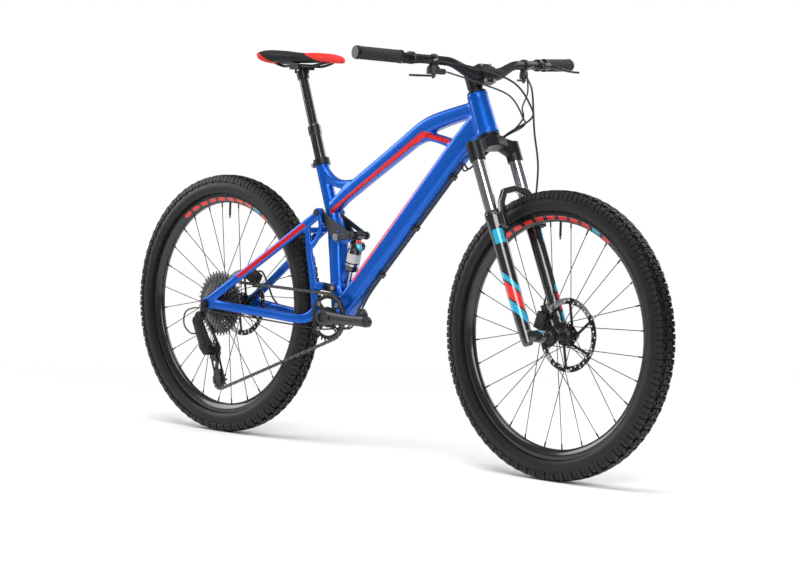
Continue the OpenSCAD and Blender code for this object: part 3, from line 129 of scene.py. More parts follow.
BRACE_TOP = on_seat(-12)
TOP_TUBE = [((322, 0, 891), 20, 18), ((281, 0, 881), 20, 19), ((210, 0, 863), 20, 20),
            ((168, 0, 850), 20, 20.5), ((138, 0, 836), 20, 21),
            ((108, 0, 818), 20, 21), ((50, 0, 781), 19, 20), ((-40, 0, 725), 18, 19),
            ((-110, 0, 681), 17.5, 18.5), ((-150, 0, 655), 17, 18), ((-176, 0, 634), 17, 17.5),
            (on_seat(-132) + Vector((6, 0, 0)), 16.5, 17)]
DOWN_TUBE = [((334, 0, 860), 20, 30), ((306, 0, 832.5), 22, 30), ((253, 0, 779.3), 25, 28),
             ((153, 0, 672.3), 26, 27), ((53, 0, 565.3), 26, 26.5), ((-47, 0, 459.3), 26, 26),
             ((-102, 0, 400), 26, 26.5), ((-140, 0, 362), 26, 26)]
DOWN_MID = Vector(DOWN_TUBE[3][0])
GUSSET = [((100, 0, 800), 14, 11), ((146, 0, 815), 14, 11), ((192, 0, 810), 15, 11), ((246, 0, 796), 16, 12)]
BRACE = [(BRACE_TOP, 13, 10), (BRACE_TOP + Vector((26, 0, -30)), 13, 11),
         (BRACE_TOP + Vector((56, 0, -46)), 13, 11.5), ((-148, 0, 686), 14, 12),
         ((-104, 0, 690), 14, 13)]
SEAT_MAST = [(on_seat(-165), 18, 19), (on_seat(-210), 22, 21), ((-163, 0, 480), 25, 21),
             ((-156, 0, 420), 25, 21), ((-148, 0, 348), 25, 23)]
shape = bmesh.new()
for stations, power in ((TOP_TUBE, 3.6), (DOWN_TUBE, 4.8), (GUSSET, 3), (BRACE, 3), (SEAT_MAST, 3.2)):
    loft(shape, stations, power)


def along_axis(origin, axis):
    """Matrix whose Z runs along the axis from an origin in millimetres; its Y stays across the bike."""
    up = Vector(axis).normalized()
    side = Vector((0, 1, 0)) if abs(up.y) < 0.9 else Vector((0, 0, 1))
    ahead = side.cross(up).normalized()
    turn = Matrix((ahead, up.cross(ahead), up)).transposed().to_4x4()
    return Matrix.Translation(Vector(origin) * MM) @ turn


def turned(bm, profile, place, steps=48, closed=False):
    """Turned piece: a profile of radius and height, in millimetres, spun about the Z of a placing matrix."""
    old = set(bm.verts)
    dots = [bm.verts.new((r * MM, 0, z * MM)) for r, z in profile]
    lines = [bm.edges.new(pair) for pair in zip(dots, dots[1:] + dots[:1] if closed else dots[1:])]
    bmesh.ops.spin(bm, geom=dots + lines, cent=(0, 0, 0), axis=(0, 0, 1), angle=2 * math.pi, steps=steps,
                   use_merge=True, use_duplicate=False)
    made = [v for v in bm.verts if v not in old]
    bmesh.ops.transform(bm, matrix=place, verts=made)


CROWN_RACE = 533
HEAD_TUBE = [(0, 0), (29, 0), (29.4, 4), (28, 14), (27, 55), (25.8, 96), (26.4, 106), (26, 110), (0, 110)]
turned(shape, HEAD_TUBE, along_axis(on_head(CROWN_RACE), HEAD_UP))


def rod(bm, a, b, r, segments=32):
    """Round bar between two points, in millimetres."""
    bmesh.ops.create_cone(bm, cap_ends=True, segments=segments, radius1=r * MM, radius2=r * MM,
                          depth=(b - a).length * MM, matrix=along_axis((a + b) / 2, b - a))


def across(bm, centre, y0, y1, r, segments=32):
    """Round bar across the bike, between two distances from its middle."""
    rod(bm, Vector((centre[0], y0, centre[2])), Vector((centre[0], y1, centre[2])), r, segments)


SEAT_TUBE_R, SEAT_TUBE_LEN = 17.65, 200
SHELL_R, SHELL_HALF = 23, 36.5
LINK_FRAME, LINK_BOSS_R, LINK_BOSS_HALF = Vector((-145, 0, 550)), 15, 25.5
LOW_FRAME, LOW_BOSS_R, LOW_BOSS_HALF = Vector((-155, 0, 417)), 13, 26
rod(shape, on_seat(-SEAT_TUBE_LEN), on_seat(0), SEAT_TUBE_R)
across(shape, BB, -SHELL_HALF, SHELL_HALF, SHELL_R)
across(shape, LINK_FRAME, -LINK_BOSS_HALF, LINK_BOSS_HALF, LINK_BOSS_R)
across(shape, LOW_FRAME, -LOW_BOSS_HALF, LOW_BOSS_HALF, LOW_BOSS_R)
DOWN_RUN = Vector((-100, 0, -107)).normalized()
DOWN_UP = Vector((DOWN_RUN.z, 0, -DOWN_RUN.x))
BOTTLE_X, BOTTLE_SPACING = 150, 64
BOTTLE_BOSS_R, BOTTLE_BOSS_H = 6.5, 29


def down_at(x):
    return DOWN_MID + DOWN_RUN * ((x - DOWN_MID.x) / DOWN_RUN.x)


for x in (BOTTLE_X, BOTTLE_X + BOTTLE_SPACING * DOWN_RUN.x):
    rod(shape, down_at(x), down_at(x) + DOWN_UP * BOTTLE_BOSS_H, BOTTLE_BOSS_R)


def meshed(bm, name):
    bmesh.ops.remove_doubles(bm, verts=bm.verts, dist=2e-6)
    bmesh.ops.recalc_face_normals(bm, faces=bm.faces)
    mesh = bpy.data.meshes.new(name)
    bm.to_mesh(mesh)
    bm.free()
    return mesh


def fused(bm, name, cutters=(), voxel=1.0, rounds=3):
    """Overlapping closed shapes become one skin on a voxel grid, smoothed so that their joints flow."""
    raw = bpy.data.objects.new(name + "_raw", meshed(bm, name + "_raw"))
    bpy.context.collection.objects.link(raw)
    grid = raw.modifiers.new("grid", "REMESH")
    grid.mode = "VOXEL"
    grid.voxel_size = voxel * MM
    soft = raw.modifiers.new("soft", "SMOOTH")
    soft.factor = 0.5
    soft.iterations = rounds
    extras = [raw]
    for cutter in cutters:
        knife = bpy.data.objects.new(name + "_knife", meshed(cutter, name + "_knife"))
        bpy.context.collection.objects.link(knife)
        extras.append(knife)
        cut = raw.modifiers.new("cut", "BOOLEAN")
        cut.operation = "DIFFERENCE"
        cut.solver = "EXACT"
        cut.object = knife
    bpy.context.view_layer.update()
    mesh = bpy.data.meshes.new_from_object(raw.evaluated_get(bpy.context.evaluated_depsgraph_get()))
    for extra in extras:
        bpy.data.objects.remove(extra)
    return mesh


LINK_SHOCK = Vector((-97, 0, 556))
SHOCK_FOOT = Vector((-135, 0, 394))
SHOCK_UP = (LINK_SHOCK - SHOCK_FOOT).normalized()
POCKET_SIZE, POCKET_MID = (0.030, 0.028, 0.150), 59
CAN_ROOM_R, CAN_ROOM_FROM, CAN_ROOM_TO = 20.5, 34, 154
pocket, can_room = bmesh.new(), bmesh.new()
bmesh.ops.create_cube(pocket, size=1.0, matrix=along_axis(SHOCK_FOOT + SHOCK_UP * POCKET_MID, SHOCK_UP)
                      @ Matrix.Diagonal((*POCKET_SIZE, 1)))
rod(can_room, SHOCK_FOOT + SHOCK_UP * CAN_ROOM_FROM, SHOCK_FOOT + SHOCK_UP * CAN_ROOM_TO, CAN_ROOM_R)
frame_mesh = fused(shape, "frame", [pocket, can_room], voxel=2.1, rounds=9)


def points_of(mesh):
    co = np.empty(len(mesh.vertices) * 3)
    mesh.vertices.foreach_get("co", co)
    return co.reshape(-1, 3) / MM


def store(mesh, name, values):
    mesh.attributes.new(name, "FLOAT", "POINT").data.foreach_set("value", values.astype(np.float32))


def side_distance(co, line):
    """Distance in the side view from each point to a line through (x, z) dots."""
    flat = co[:, [0, 2]]
    best = np.full(len(co), 1e9)
    for a, b in zip(line, line[1:]):
        a, b = np.array(a, float), np.array(b, float)
        u = np.clip(((flat - a) @ (b - a)) / ((b - a) @ (b - a)), 0, 1)
        best = np.minimum(best, np.linalg.norm(flat - a - u[:, None] * (b - a), axis=1))
    return best


TOP_STRIPE, TOP_STRIPE_HALF = [(-180, 615.4), (145.7, 822.4), (229.3, 808)], 7.4
DOWN_STRIPE, DOWN_STRIPE_HALF = [(-83.6, 441.6), (56.8, 598), (232.1, 794.6)], 3.2
STRIPE_IN = 11
dots = points_of(frame_mesh)
on_side = STRIPE_IN - np.abs(dots[:, 1])
stripe = np.minimum(side_distance(dots, TOP_STRIPE) - TOP_STRIPE_HALF,
                    side_distance(dots, DOWN_STRIPE) - DOWN_STRIPE_HALF)
store(frame_mesh, "stripe", np.maximum(stripe, on_side))
CLOUD_SHARE, RELIEF_DEPTH, LACQUER_ROUGH = 0.06, 0.0006, 0.06


def finish(name, colour, rough, metal=0.0, coat=0.0, grain=900.0, relief=0.06, vary=0.16, shine=0.5):
    """A finish with the slight mottling, uneven gloss and fine texture that the real surface shows."""
    material = bpy.data.materials.new(name)
    material.use_nodes = True
    nodes, links = material.node_tree.nodes, material.node_tree.links
    shader = nodes["Principled BSDF"]
    place = nodes.new("ShaderNodeTexCoord")
    cloud = nodes.new("ShaderNodeTexNoise")
    cloud.inputs["Scale"].default_value = grain * CLOUD_SHARE
    cloud.inputs["Detail"].default_value = 5.0
    links.new(place.outputs["Object"], cloud.inputs["Vector"])
    tint = nodes.new("ShaderNodeMix")
    tint.name = "tint"
    tint.data_type = "RGBA"
    tint.inputs[6].default_value = (*[c * (1 - vary) for c in colour], 1)
    tint.inputs[7].default_value = (*[min(1.0, c * (1 + vary) + 0.002) for c in colour], 1)
    links.new(cloud.outputs["Fac"], tint.inputs[0])
    links.new(tint.outputs[2], shader.inputs["Base Color"])
    gloss = nodes.new("ShaderNodeMapRange")
    gloss.inputs["To Min"].default_value = rough * (1 - vary)
    gloss.inputs["To Max"].default_value = rough * (1 + vary)
    links.new(cloud.outputs["Fac"], gloss.inputs["Value"])
    links.new(gloss.outputs["Result"], shader.inputs["Roughness"])
    fine = nodes.new("ShaderNodeTexNoise")
    fine.inputs["Scale"].default_value = grain
    fine.inputs["Detail"].default_value = 3.0
    links.new(place.outputs["Object"], fine.inputs["Vector"])
    bump = nodes.new("ShaderNodeBump")
    bump.name = "relief"
    bump.inputs["Strength"].default_value = relief
    bump.inputs["Distance"].default_value = RELIEF_DEPTH
    links.new(fine.outputs["Fac"], bump.inputs["Height"])
    links.new(bump.outputs["Normal"], shader.inputs["Normal"])
    shader.inputs["Metallic"].default_value = metal
    shader.inputs["Specular IOR Level"].default_value = shine
    shader.inputs["Coat Weight"].default_value = coat
    shader.inputs["Coat Roughness"].default_value = LACQUER_ROUGH
    return material


def overlay(material, attribute, colour, edge=0.35):
    """Second colour where a signed distance stored on the mesh, in millimetres, is below zero."""
    nodes, links = material.node_tree.nodes, material.node_tree.links
    shader = nodes["Principled BSDF"]
    under = shader.inputs["Base Color"].links[0].from_socket
    read = nodes.new("ShaderNodeAttribute")
    read.attribute_name = attribute
    inside = nodes.new("ShaderNodeMapRange")
    inside.inputs["From Min"].default_value = edge
    inside.inputs["From Max"].default_value = -edge
    links.new(read.outputs["Fac"], inside.inputs["Value"])
    top = nodes.new("ShaderNodeMix")
    top.data_type = "RGBA"
    top.inputs[7].default_value = (*colour, 1)
    links.new(inside.outputs["Result"], top.inputs[0])
    links.new(under, top.inputs[6])
    links.new(top.outputs[2], shader.inputs["Base Color"])


def piece(name, shape, body, material, replaces=(), sharp=38):
    """Finished piece from a bmesh or mesh: smooth where it is round, riding on its CAD body."""
    mesh = meshed(shape, name) if isinstance(shape, bmesh.types.BMesh) else shape
    mesh.name = name
    mesh.materials.clear()
    mesh.materials.append(material)
    mesh.shade_smooth()
    mesh.set_sharp_from_angle(angle=math.radians(sharp))
    obj = bpy.data.objects.new(name, mesh)
    bpy.context.collection.objects.link(obj)
    if body is not None:
        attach(obj, body)
    if replaces:
        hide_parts(*replaces)
    return obj


PEARL_BLUE = (0.004, 0.098, 0.50)
STRIPE_RED = (0.66, 0.022, 0.02)
pearl = finish("pearl_blue_paint", PEARL_BLUE, rough=0.27, metal=0.5, coat=0.25, grain=12000, relief=0.004,
               vary=0.04, shine=0.16)
overlay(pearl, "stripe", STRIPE_RED)
piece("frame_shell", frame_mesh, "frame", pearl, ["front_frame"], sharp=50)

# Bearing cups, seat clamp and its bolt, pivot pins and hose clips. Turned or cut from alloy and steel, black
# anodised or bright, and pressed, clamped or screwed to the frame. The clips are moulded plastic.


def cast(node, body, material, bevel=0.0, sharp=35):
    """Copy of a CAD solid with merged seams, so that round faces look round, and slightly broken edges."""
    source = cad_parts[node]
    copy = bmesh.new()
    copy.from_mesh(source.data)
    copy.transform(source.matrix_world)
    bmesh.ops.remove_doubles(copy, verts=copy.verts, dist=2e-6)
    bmesh.ops.dissolve_limit(copy, angle_limit=math.radians(0.3), verts=copy.verts, edges=copy.edges)
    obj = piece(node + "_dressed", copy, body, material, [node], sharp)
    if bevel:
        edge = obj.modifiers.new("edge", "BEVEL")
        edge.width = bevel * MM
        edge.segments = 2
        edge.limit_method = "ANGLE"
        edge.angle_limit = math.radians(sharp)
        edge.harden_normals = True
    return obj


anodised = finish("black_anodised", (0.016, 0.016, 0.018), rough=0.36, metal=0.55, grain=3000, relief=0.03)
steel = finish("bright_steel", (0.56, 0.56, 0.57), rough=0.24, metal=1.0, grain=2400, relief=0.04, vary=0.08)
moulded = finish("black_plastic", (0.014, 0.014, 0.015), rough=0.5, grain=2600, relief=0.12)
cast("bearing_cups", "frame", anodised, bevel=0.6)
cast("seat_clamp", "frame", anodised, bevel=0.6)
cast("frame_bolts", "frame", steel, bevel=0.5)
cast("hose_clips", "frame", moulded, bevel=0.6)

# Brake hose and gear cable under the down tube. Nylon jackets over a liner, black and a little shiny, pushed
# into the clips.
hose_jacket = finish("hose_jacket", (0.012, 0.012, 0.013), rough=0.34, grain=1800, relief=0.05)
CLIP_DROP = 4


def hose(bm, points, r, cuts=8, sides=14):
    """Round hose through points in millimetres, bent smoothly between them."""
    rows = [row[0] for row in curved([(Vector(p),) for p in points], cuts)]
    across_run = Vector((0.31, 0.17, 0.93))
    rims = []
    for i, centre in enumerate(rows):
        run = (rows[min(i + 1, len(rows) - 1)] - rows[max(i - 1, 0)]).normalized()
        across_run = (across_run - run * run.dot(across_run)).normalized()
        third = run.cross(across_run)
        ends = i in (0, len(rows) - 1)
        ring = bmesh.ops.create_circle(bm, cap_ends=ends, segments=sides, radius=1.0)["verts"]
        for v in ring:
            v.co = (centre + (across_run * v.co.x + third * v.co.y) * r) * MM
        rims.append(rim_of(ring))
    skin(bm, rims)


def under(x, y):
    """Place of a hose's middle under the down tube."""
    half = float(np.interp(x, [s[0][0] for s in reversed(DOWN_TUBE)], [s[2] for s in reversed(DOWN_TUBE)]))
    return down_at(x) - DOWN_UP * (half + CLIP_DROP) + Vector((0, y, 0))


SIDES = (-1, 1)
BRAKE_HOSE_R, CABLE_R = 2.5, 2.1
HOSE_Y = 5
shape = bmesh.new()
for s in SIDES:
    hose(shape, [under(x, s * HOSE_Y) for x in (228, 190, 100, 0, -70)]
         + [(-112, s * 6, 322), (-150, s * 10, 313)], BRAKE_HOSE_R)
piece("frame_hoses_dressed", shape, "frame", hose_jacket, ["frame_hoses"], sharp=60)

# Fork crown and steerer. The crown is forged aluminium, machined underneath and black anodised; the steerer
# and the two polished stanchions are pressed into it.


def hulled(bm, *bars):
    """Solid stretched tightly round bars, each given by two ends and a radius in millimetres."""
    shell = bmesh.new()
    for a, b, r in bars:
        rod(shell, a, b, r)
    dots = [bm.verts.new(v.co) for v in shell.verts]
    shell.free()
    bmesh.ops.convex_hull(bm, input=dots)
    bmesh.ops.delete(bm, geom=[v for v in dots if v.is_valid and not v.link_faces], context="VERTS")


LEG_Y, LEG_AHEAD = 67, 5
CROWN_TOP, STEERER_TOP, STEERER_R = 528, 686, 14.2
SOCKET_R = 19.6
UNDERCUT_T, UNDERCUT_R = 454, 40


def on_leg(s, t):
    return on_head(t, LEG_AHEAD, s * LEG_Y)


shape = bmesh.new()
for s in SIDES:
    waist = (on_head(496, 4, s * 38), on_head(517, 4, s * 38), 17)
    hulled(shape, (on_head(500), on_head(CROWN_TOP), 26), waist)
    hulled(shape, waist, (on_leg(s, 480), on_leg(s, 508), 18.5))
    rod(shape, on_leg(s, 462), on_leg(s, 512), SOCKET_R)
rod(shape, on_head(520), on_head(STEERER_TOP), STEERER_R)
knife = bmesh.new()
rod(knife, on_head(UNDERCUT_T, -60), on_head(UNDERCUT_T, 70), UNDERCUT_R, segments=64)
crown_mesh = fused(shape, "crown", [knife], voxel=1.4, rounds=10)
piece("crown_dressed", crown_mesh, "steering", anodised, ["crown_steerer"], sharp=50)
polished = finish("polished_stanchion", (0.52, 0.52, 0.53), rough=0.13, metal=1.0, grain=1500, relief=0.01,
                  vary=0.03)
cast("stanchions", "steering", polished)

# Fork lowers. One magnesium casting of two legs, the arch over the tyre and the axle lugs, sprayed gloss
# black, with rubber wipers at the top and plain cyan and red bands.
LEG_FOOT = -12
LEG = [(0, 0), (9, 0), (13, 4), (15, 20), (17, 62), (18.5, 275), (20.5, 321), (20.5, 335), (19, 339),
       (0, 339)]
ARCH = [(67, 286), (67, 318), (59, 346), (40, 372), (0, 379)]
ARCH_R = 7.5
shape = bmesh.new()
for s in SIDES:
    turned(shape, LEG, along_axis(on_leg(s, LEG_FOOT), HEAD_UP))
    hulled(shape, (on_head(14, LEG_AHEAD, s * 53), on_head(14, LEG_AHEAD, s * 75), 13),
           (on_head(0, FORK_OFFSET, s * 50.5), on_head(0, FORK_OFFSET, s * 64), 15))
    for pair in zip(ARCH, ARCH[1:]):
        hulled(shape, *[(on_head(t, 30, s * y), on_head(t, 42, s * y), ARCH_R) for y, t in pair])
    hulled(shape, (on_leg(s, 286), on_leg(s, 322), 8),
           (on_head(292, 33, s * LEG_Y), on_head(318, 33, s * LEG_Y), ARCH_R))
lowers_mesh = fused(shape, "lowers", voxel=1.6, rounds=6)
RED_BAND, CYAN_LOW, CYAN_HIGH, BAND_SLANT, BAND_IN = (92, 133), (58, 86), (138, 156), 1.5, 4
PATCH, PATCH_HALF = (247, 283), 13
dots = points_of(lowers_mesh)
up_leg = (dots - np.array(HEAD_FOOT)) @ np.array(HEAD_UP)
ahead_leg = (dots - np.array(HEAD_FOOT)) @ np.array(HEAD_AHEAD)
out_leg = np.abs(dots[:, 1]) - LEG_Y
round_leg = 0.7 * (ahead_leg - LEG_AHEAD) - 0.7 * out_leg
slant = up_leg + BAND_SLANT * round_leg


def strip(values, low, high):
    return np.abs(values - (low + high) / 2) - (high - low) / 2


store(lowers_mesh, "red_band", np.maximum(strip(slant, *RED_BAND), -out_leg - BAND_IN))
patch = np.maximum(strip(up_leg, *PATCH), np.abs(round_leg) - PATCH_HALF)
cyan = np.minimum(np.minimum(strip(slant, *CYAN_LOW), strip(slant, *CYAN_HIGH)), patch)
store(lowers_mesh, "cyan_band", np.maximum(cyan, -out_leg - BAND_IN))
CYAN = (0.012, 0.34, 0.52)
INK = (0.008, 0.008, 0.009)
gloss_black = finish("gloss_black_paint", INK, rough=0.16, coat=1.0, grain=1500, relief=0.01)
leg_paint = finish("fork_leg_paint", INK, rough=0.16, coat=1.0, grain=1500, relief=0.01)
overlay(leg_paint, "red_band", STRIPE_RED)
overlay(leg_paint, "cyan_band", CYAN)
piece("lowers_dressed", lowers_mesh, "fork_lowers", leg_paint, ["fork_lowers"], sharp=50)
shape = bmesh.new()
for s in SIDES:
    turned(shape, [(16.2, 326), (20, 326), (20, 328.5), (18.4, 331.5), (16.2, 331.5)],
           along_axis(on_leg(s, 0), HEAD_UP), closed=True)
soft_rubber = finish("soft_rubber", (0.012, 0.012, 0.012), rough=0.62, grain=2200, relief=0.1)
piece("wipers", shape, "fork_lowers", soft_rubber)
cast("front_axle", "fork_lowers", anodised, bevel=0.6)
dark_cast = finish("caliper_alloy", (0.05, 0.05, 0.054), rough=0.34, metal=0.8, grain=2600, relief=0.05)
cast("front_caliper", "fork_lowers", dark_cast, bevel=1.2)

# Headset spacer, stem, faceplate and bolts. Forged and machined aluminium, black anodised, clamped on the
# steerer with small steel bolts.
cast("headset_spacers", "steering", anodised, bevel=0.8)
cast("stem", "steering", anodised, bevel=1.6)
cast("stem_faceplate", "steering", anodised, bevel=1.6)
cast("stem_bolts", "steering", steel, bevel=0.5)

# Handlebar. A butted aluminium tube, bent up and back, shot-peened and black anodised. The thick middle is
# clamped in the stem, and it tapers to the thin ends that carry grips and levers.
BAR_MID = Vector((333.2, 0, 972.3))
BAR_HALF = [((0, 0, 0), 15.9), ((0, 24, 0), 15.9), ((0, 42, 1), 15.6), ((-2, 62, 6), 14.4),
            ((-5, 88, 17), 12.6), ((-8, 112, 25.5), 11.4), ((-13, 140, 28.2), 11.1), ((-35, 250, 32.5), 11.1),
            ((-62, 380, 38), 11.1)]


def bar_point(s, d):
    """Point on the bar's straight end, a distance in from its tip."""
    tip, bend = BAR_MID + Vector((-62, s * 380, 38)), BAR_MID + Vector((-8, s * 115, 27))
    return tip + (bend - tip).normalized() * d


shape = bmesh.new()
path = [(BAR_MID + Vector((x, -y, z)), r) for (x, y, z), r in reversed(BAR_HALF)]
path += [(BAR_MID + Vector((x, y, z)), r) for (x, y, z), r in BAR_HALF[1:]]
rims = []
for centre, r in curved(path, 4):
    ring = bmesh.ops.create_circle(shape, segments=36, radius=r * MM,
                                   matrix=along_axis(centre, (0, 1, 0)))["verts"]
    rims.append(rim_of(ring))
skin(shape, rims)
bmesh.ops.holes_fill(shape, edges=rims[0] + rims[-1])
piece("bar_dressed", shape, "steering", anodised, ["handlebar"], sharp=60)

# Grips. Moulded rubber sleeves with raised ribs, pushed over the ends of the bar and held by black alloy
# rings that are clamped with small screws.
GRIP_FROM, GRIP_TO = 8.2, 121.8
GRIP_BORE_R, GRIP_R = 11.2, 14.8
RIBS, RIB_FROM, RIB_PITCH = 22, 11, 4.95
shape = bmesh.new()
for s in SIDES:
    outline = [(GRIP_BORE_R, GRIP_FROM), (GRIP_R, GRIP_FROM)]
    for k in range(RIBS):
        d = RIB_FROM + k * RIB_PITCH
        outline += [(GRIP_R, d), (15.8, d + 0.7), (15.9, d + 2.6), (GRIP_R, d + 3.3)]
    outline += [(GRIP_R, GRIP_TO), (GRIP_BORE_R, GRIP_TO)]
    turned(shape, outline, along_axis(bar_point(s, 0), bar_point(s, 1) - bar_point(s, 0)), 40, closed=True)
grip_rubber = finish("grip_rubber", (0.010, 0.010, 0.010), rough=0.7, grain=1600, relief=0.25)
piece("grips_dressed", shape, "steering", grip_rubber, ["grips"], sharp=30)
cast("grip_rings", "steering", anodised, bevel=0.8)

# Brake levers. Cast master cylinders clamped on the bar beside the grips, each with a forged blade on a pin
# between two ears. The hose screws into the inner end of the cylinder.
CYLINDER_AHEAD, CYLINDER_Z = 27, -2
BLADE_HALF = Vector((0, 0, 2.6))


def by_grip(s, d, x=0.0, z=0.0):
    return bar_point(s, d) + Vector((x, 0, z))


def on_cylinder(s, d):
    return by_grip(s, d, CYLINDER_AHEAD, CYLINDER_Z)


def lever_pin(s):
    return by_grip(s, 190, 43.5, CYLINDER_Z)


shape = bmesh.new()
for s in SIDES:
    rod(shape, by_grip(s, 149), by_grip(s, 163), 15.4)
    hulled(shape, (by_grip(s, 151, 8, -1), by_grip(s, 161, 8, -1), 9),
           (by_grip(s, 152, 25, -2), by_grip(s, 162, 25, -2), 7))
    hulled(shape, (on_cylinder(s, 143), on_cylinder(s, 180), 9),
           (on_cylinder(s, 196), on_cylinder(s, 203), 6.5))
    hulled(shape, (on_cylinder(s, 140), on_cylinder(s, 148), 7.5),
           (on_cylinder(s, 146), on_cylinder(s, 176), 9.4))
    rod(shape, on_cylinder(s, 200), on_cylinder(s, 210), 5)
    pivot = lever_pin(s)
    for z in (-6, 6):
        hulled(shape, (pivot + Vector((0, 0, z - 1.5)), pivot + Vector((0, 0, z + 1.5)), 6),
               (pivot + Vector((-14, 0, z - 1.5)), pivot + Vector((-14, 0, z + 1.5)), 6.5))
brakes_mesh = fused(shape, "brakes", voxel=0.9)
piece("brakes_dressed", brakes_mesh, "steering", anodised, ["brake_bodies"], sharp=50)
blade_black = finish("lever_black", (0.014, 0.014, 0.015), rough=0.28, metal=0.4, coat=0.4, grain=2500,
                     relief=0.03)
for s, side_name in ((-1, "right"), (1, "left")):
    pivot = lever_pin(s)
    shape = bmesh.new()
    rod(shape, pivot - Vector((0, 0, 4)), pivot + Vector((0, 0, 4)), 6)
    blade = [((2, 0, 0), 4), ((10, 12, -1), 4.2), ((16, 24, -3), 4.3), ((17, 46, -6.5), 4.4),
             ((15, 70, -9), 4.2), ((12, 95, -10.5), 4.0),
             ((9, 112, -11), 4.6), ((8, 120, -11), 4.8), ((8, 122.6, -11), 3.0)]
    for (a, ra), (b, rb) in zip(blade, blade[1:]):
        pa, pb = (pivot + Vector((p[0], s * p[1], p[2])) for p in (a, b))
        hulled(shape, (pa - BLADE_HALF, pa + BLADE_HALF, ra), (pb - BLADE_HALF, pb + BLADE_HALF, rb))
    node = "brake_lever_" + side_name
    blade_mesh = fused(shape, node, voxel=0.8, rounds=4)
    piece(node + "_dressed", blade_mesh, node, blade_black, [node], sharp=50)

# Gear shifter under the right of the bar and the dropper post's remote under the left. Moulded pods with
# stamped alloy paddles.
POD_IN, POD_DROP = 223, 27


def pod_of(s):
    return by_grip(s, POD_IN, 0, -POD_DROP)


cast("shift_paddle", "shift_paddle", dark_cast, bevel=1.2)
for s, r, node in ((-1, 16.6, "shifter_body"), (1, 10.8, "remote_body")):
    pod = pod_of(s)
    shape = bmesh.new()
    rod(shape, by_grip(s, 217), by_grip(s, 229), 15)
    hulled(shape, (pod - Vector((0, 0, 7)), pod + Vector((0, 0, 7)), r),
           (by_grip(s, 219, 0, -9), by_grip(s, 227, 0, -9), 6))
    rod(shape, pod - Vector((0, 0, 17.6)), pod, 3.5)
    if s < 0:
        hulled(shape, (pod + Vector((13, 0, -0.5)), pod + Vector((13, 25.6, -0.5)), 7),
               (pod + Vector((4, 0, -0.5)), pod + Vector((4, 17, -0.5)), 7))
    pod_mesh = fused(shape, node, voxel=0.9, rounds=4)
    piece(node + "_dressed", pod_mesh, "steering", moulded, [node], sharp=50)
cast("remote_lever", "remote_lever", dark_cast, bevel=0.9)

# Hoses at the bar: rear brake, gear and dropper cables curve round the head tube.
# The front brake hose runs down the left fork leg.
HEAD_LOW = on_head(CROWN_TOP)


def ahead_of_bar(x, y, z):
    return BAR_MID + Vector((x, y, z))


def by_crown(x, y, z):
    return HEAD_LOW + Vector((x, y, z))


shape = bmesh.new()
hose(shape, [on_cylinder(-1, 210), ahead_of_bar(44, -70, 12), ahead_of_bar(92, 10, -20),
             ahead_of_bar(104, 62, -80), by_crown(74, 66, 46), by_crown(6, 60, 10), (300, 44, 778),
             (276, 18, 740), under(246, HOSE_Y), under(230, HOSE_Y)], BRAKE_HOSE_R)
hose(shape, [pod_of(-1) + Vector((20, 26, -1)), ahead_of_bar(50, -64, -24), ahead_of_bar(84, 4, -52),
             ahead_of_bar(86, 52, -104), by_crown(62, 56, 30), by_crown(0, 50, -1), (298, 34, 764),
             (274, 4, 734), under(246, -HOSE_Y), under(230, -HOSE_Y)], CABLE_R)
hose(shape, [pod_of(1) + Vector((11.9, 0, -1)), ahead_of_bar(58, 96, -40), ahead_of_bar(84, 50, -78),
             by_crown(66, 48, 46), by_crown(16, 44, 6), (300, 32, 815), (272, 27.4, 797)], CABLE_R)
bar_hoses = piece("steering_hoses_dressed", shape, None, hose_jacket, ["steering_hoses"], sharp=60)
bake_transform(bar_hoses)
shape = bmesh.new()
hose(shape, [on_cylinder(1, 211.5), ahead_of_bar(44, 100, 8), ahead_of_bar(96, 70, -36),
             on_head(520, 72, 88), on_head(440, 40, 104), on_head(350, 2, 101), on_head(270, -8, 96),
             on_head(180, -14, 90), on_head(130, -20, 78), on_head(101, -19, 57)], BRAKE_HOSE_R)
front_hose = piece("front_hose_dressed", shape, None, hose_jacket, ["front_brake_hose"], sharp=60)
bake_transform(front_hose)

# Wheels. Black knobbly tyres on black alloy rims, laced with thin dark spokes to turned hubs. The tread
# blocks are moulded in rows, and the rims carry plain red dashes and one cyan dash.
tread_rubber = finish("tyre_rubber", (0.007, 0.007, 0.007), rough=0.46, grain=1400, relief=0.1, vary=0.2,
                      shine=0.28)
spoke_black = finish("spoke_black", (0.02, 0.02, 0.022), rough=0.34, metal=0.8, grain=2600, relief=0.03)
TYRE_SIDE = [(292, 9.5), (292, 13), (298.4, 13)]
TYRE_SIDE += [(315.5 + 28.5 * math.sin(math.radians(a)), 28.5 * math.cos(math.radians(a)))
              for a in range(-33, 27, 6)]
TYRE_SIDE += [(333, 25.4), (338, 24.6), (340.4, 22.6), (341.2, 18), (342, 12), (343, 7), (344, 2)]
RIM_SIDE = [(273, 4), (275, 7.6), (280, 11), (285, 13.8), (287.5, 14.8), (290, 15), (297.2, 15),
            (297.7, 14.5), (297.7, 13), (292, 13), (292, 8), (288, 6)]
SHOULDER = [(328, 27.4), (330, 29.4), (338.5, 28.2), (345.6, 24.2), (346.4, 18.4), (338, 18.4)]
SHORT_SHOULDER = [(330, 27), (332, 28.4), (338.5, 27.4), (344.8, 23.6), (345.4, 19.4), (338, 19.4)]
TREAD = [([(340, -7.6), (340, 7.6), (348.8, 6.9), (348.8, -6.9)], 0.52, 0.90)]
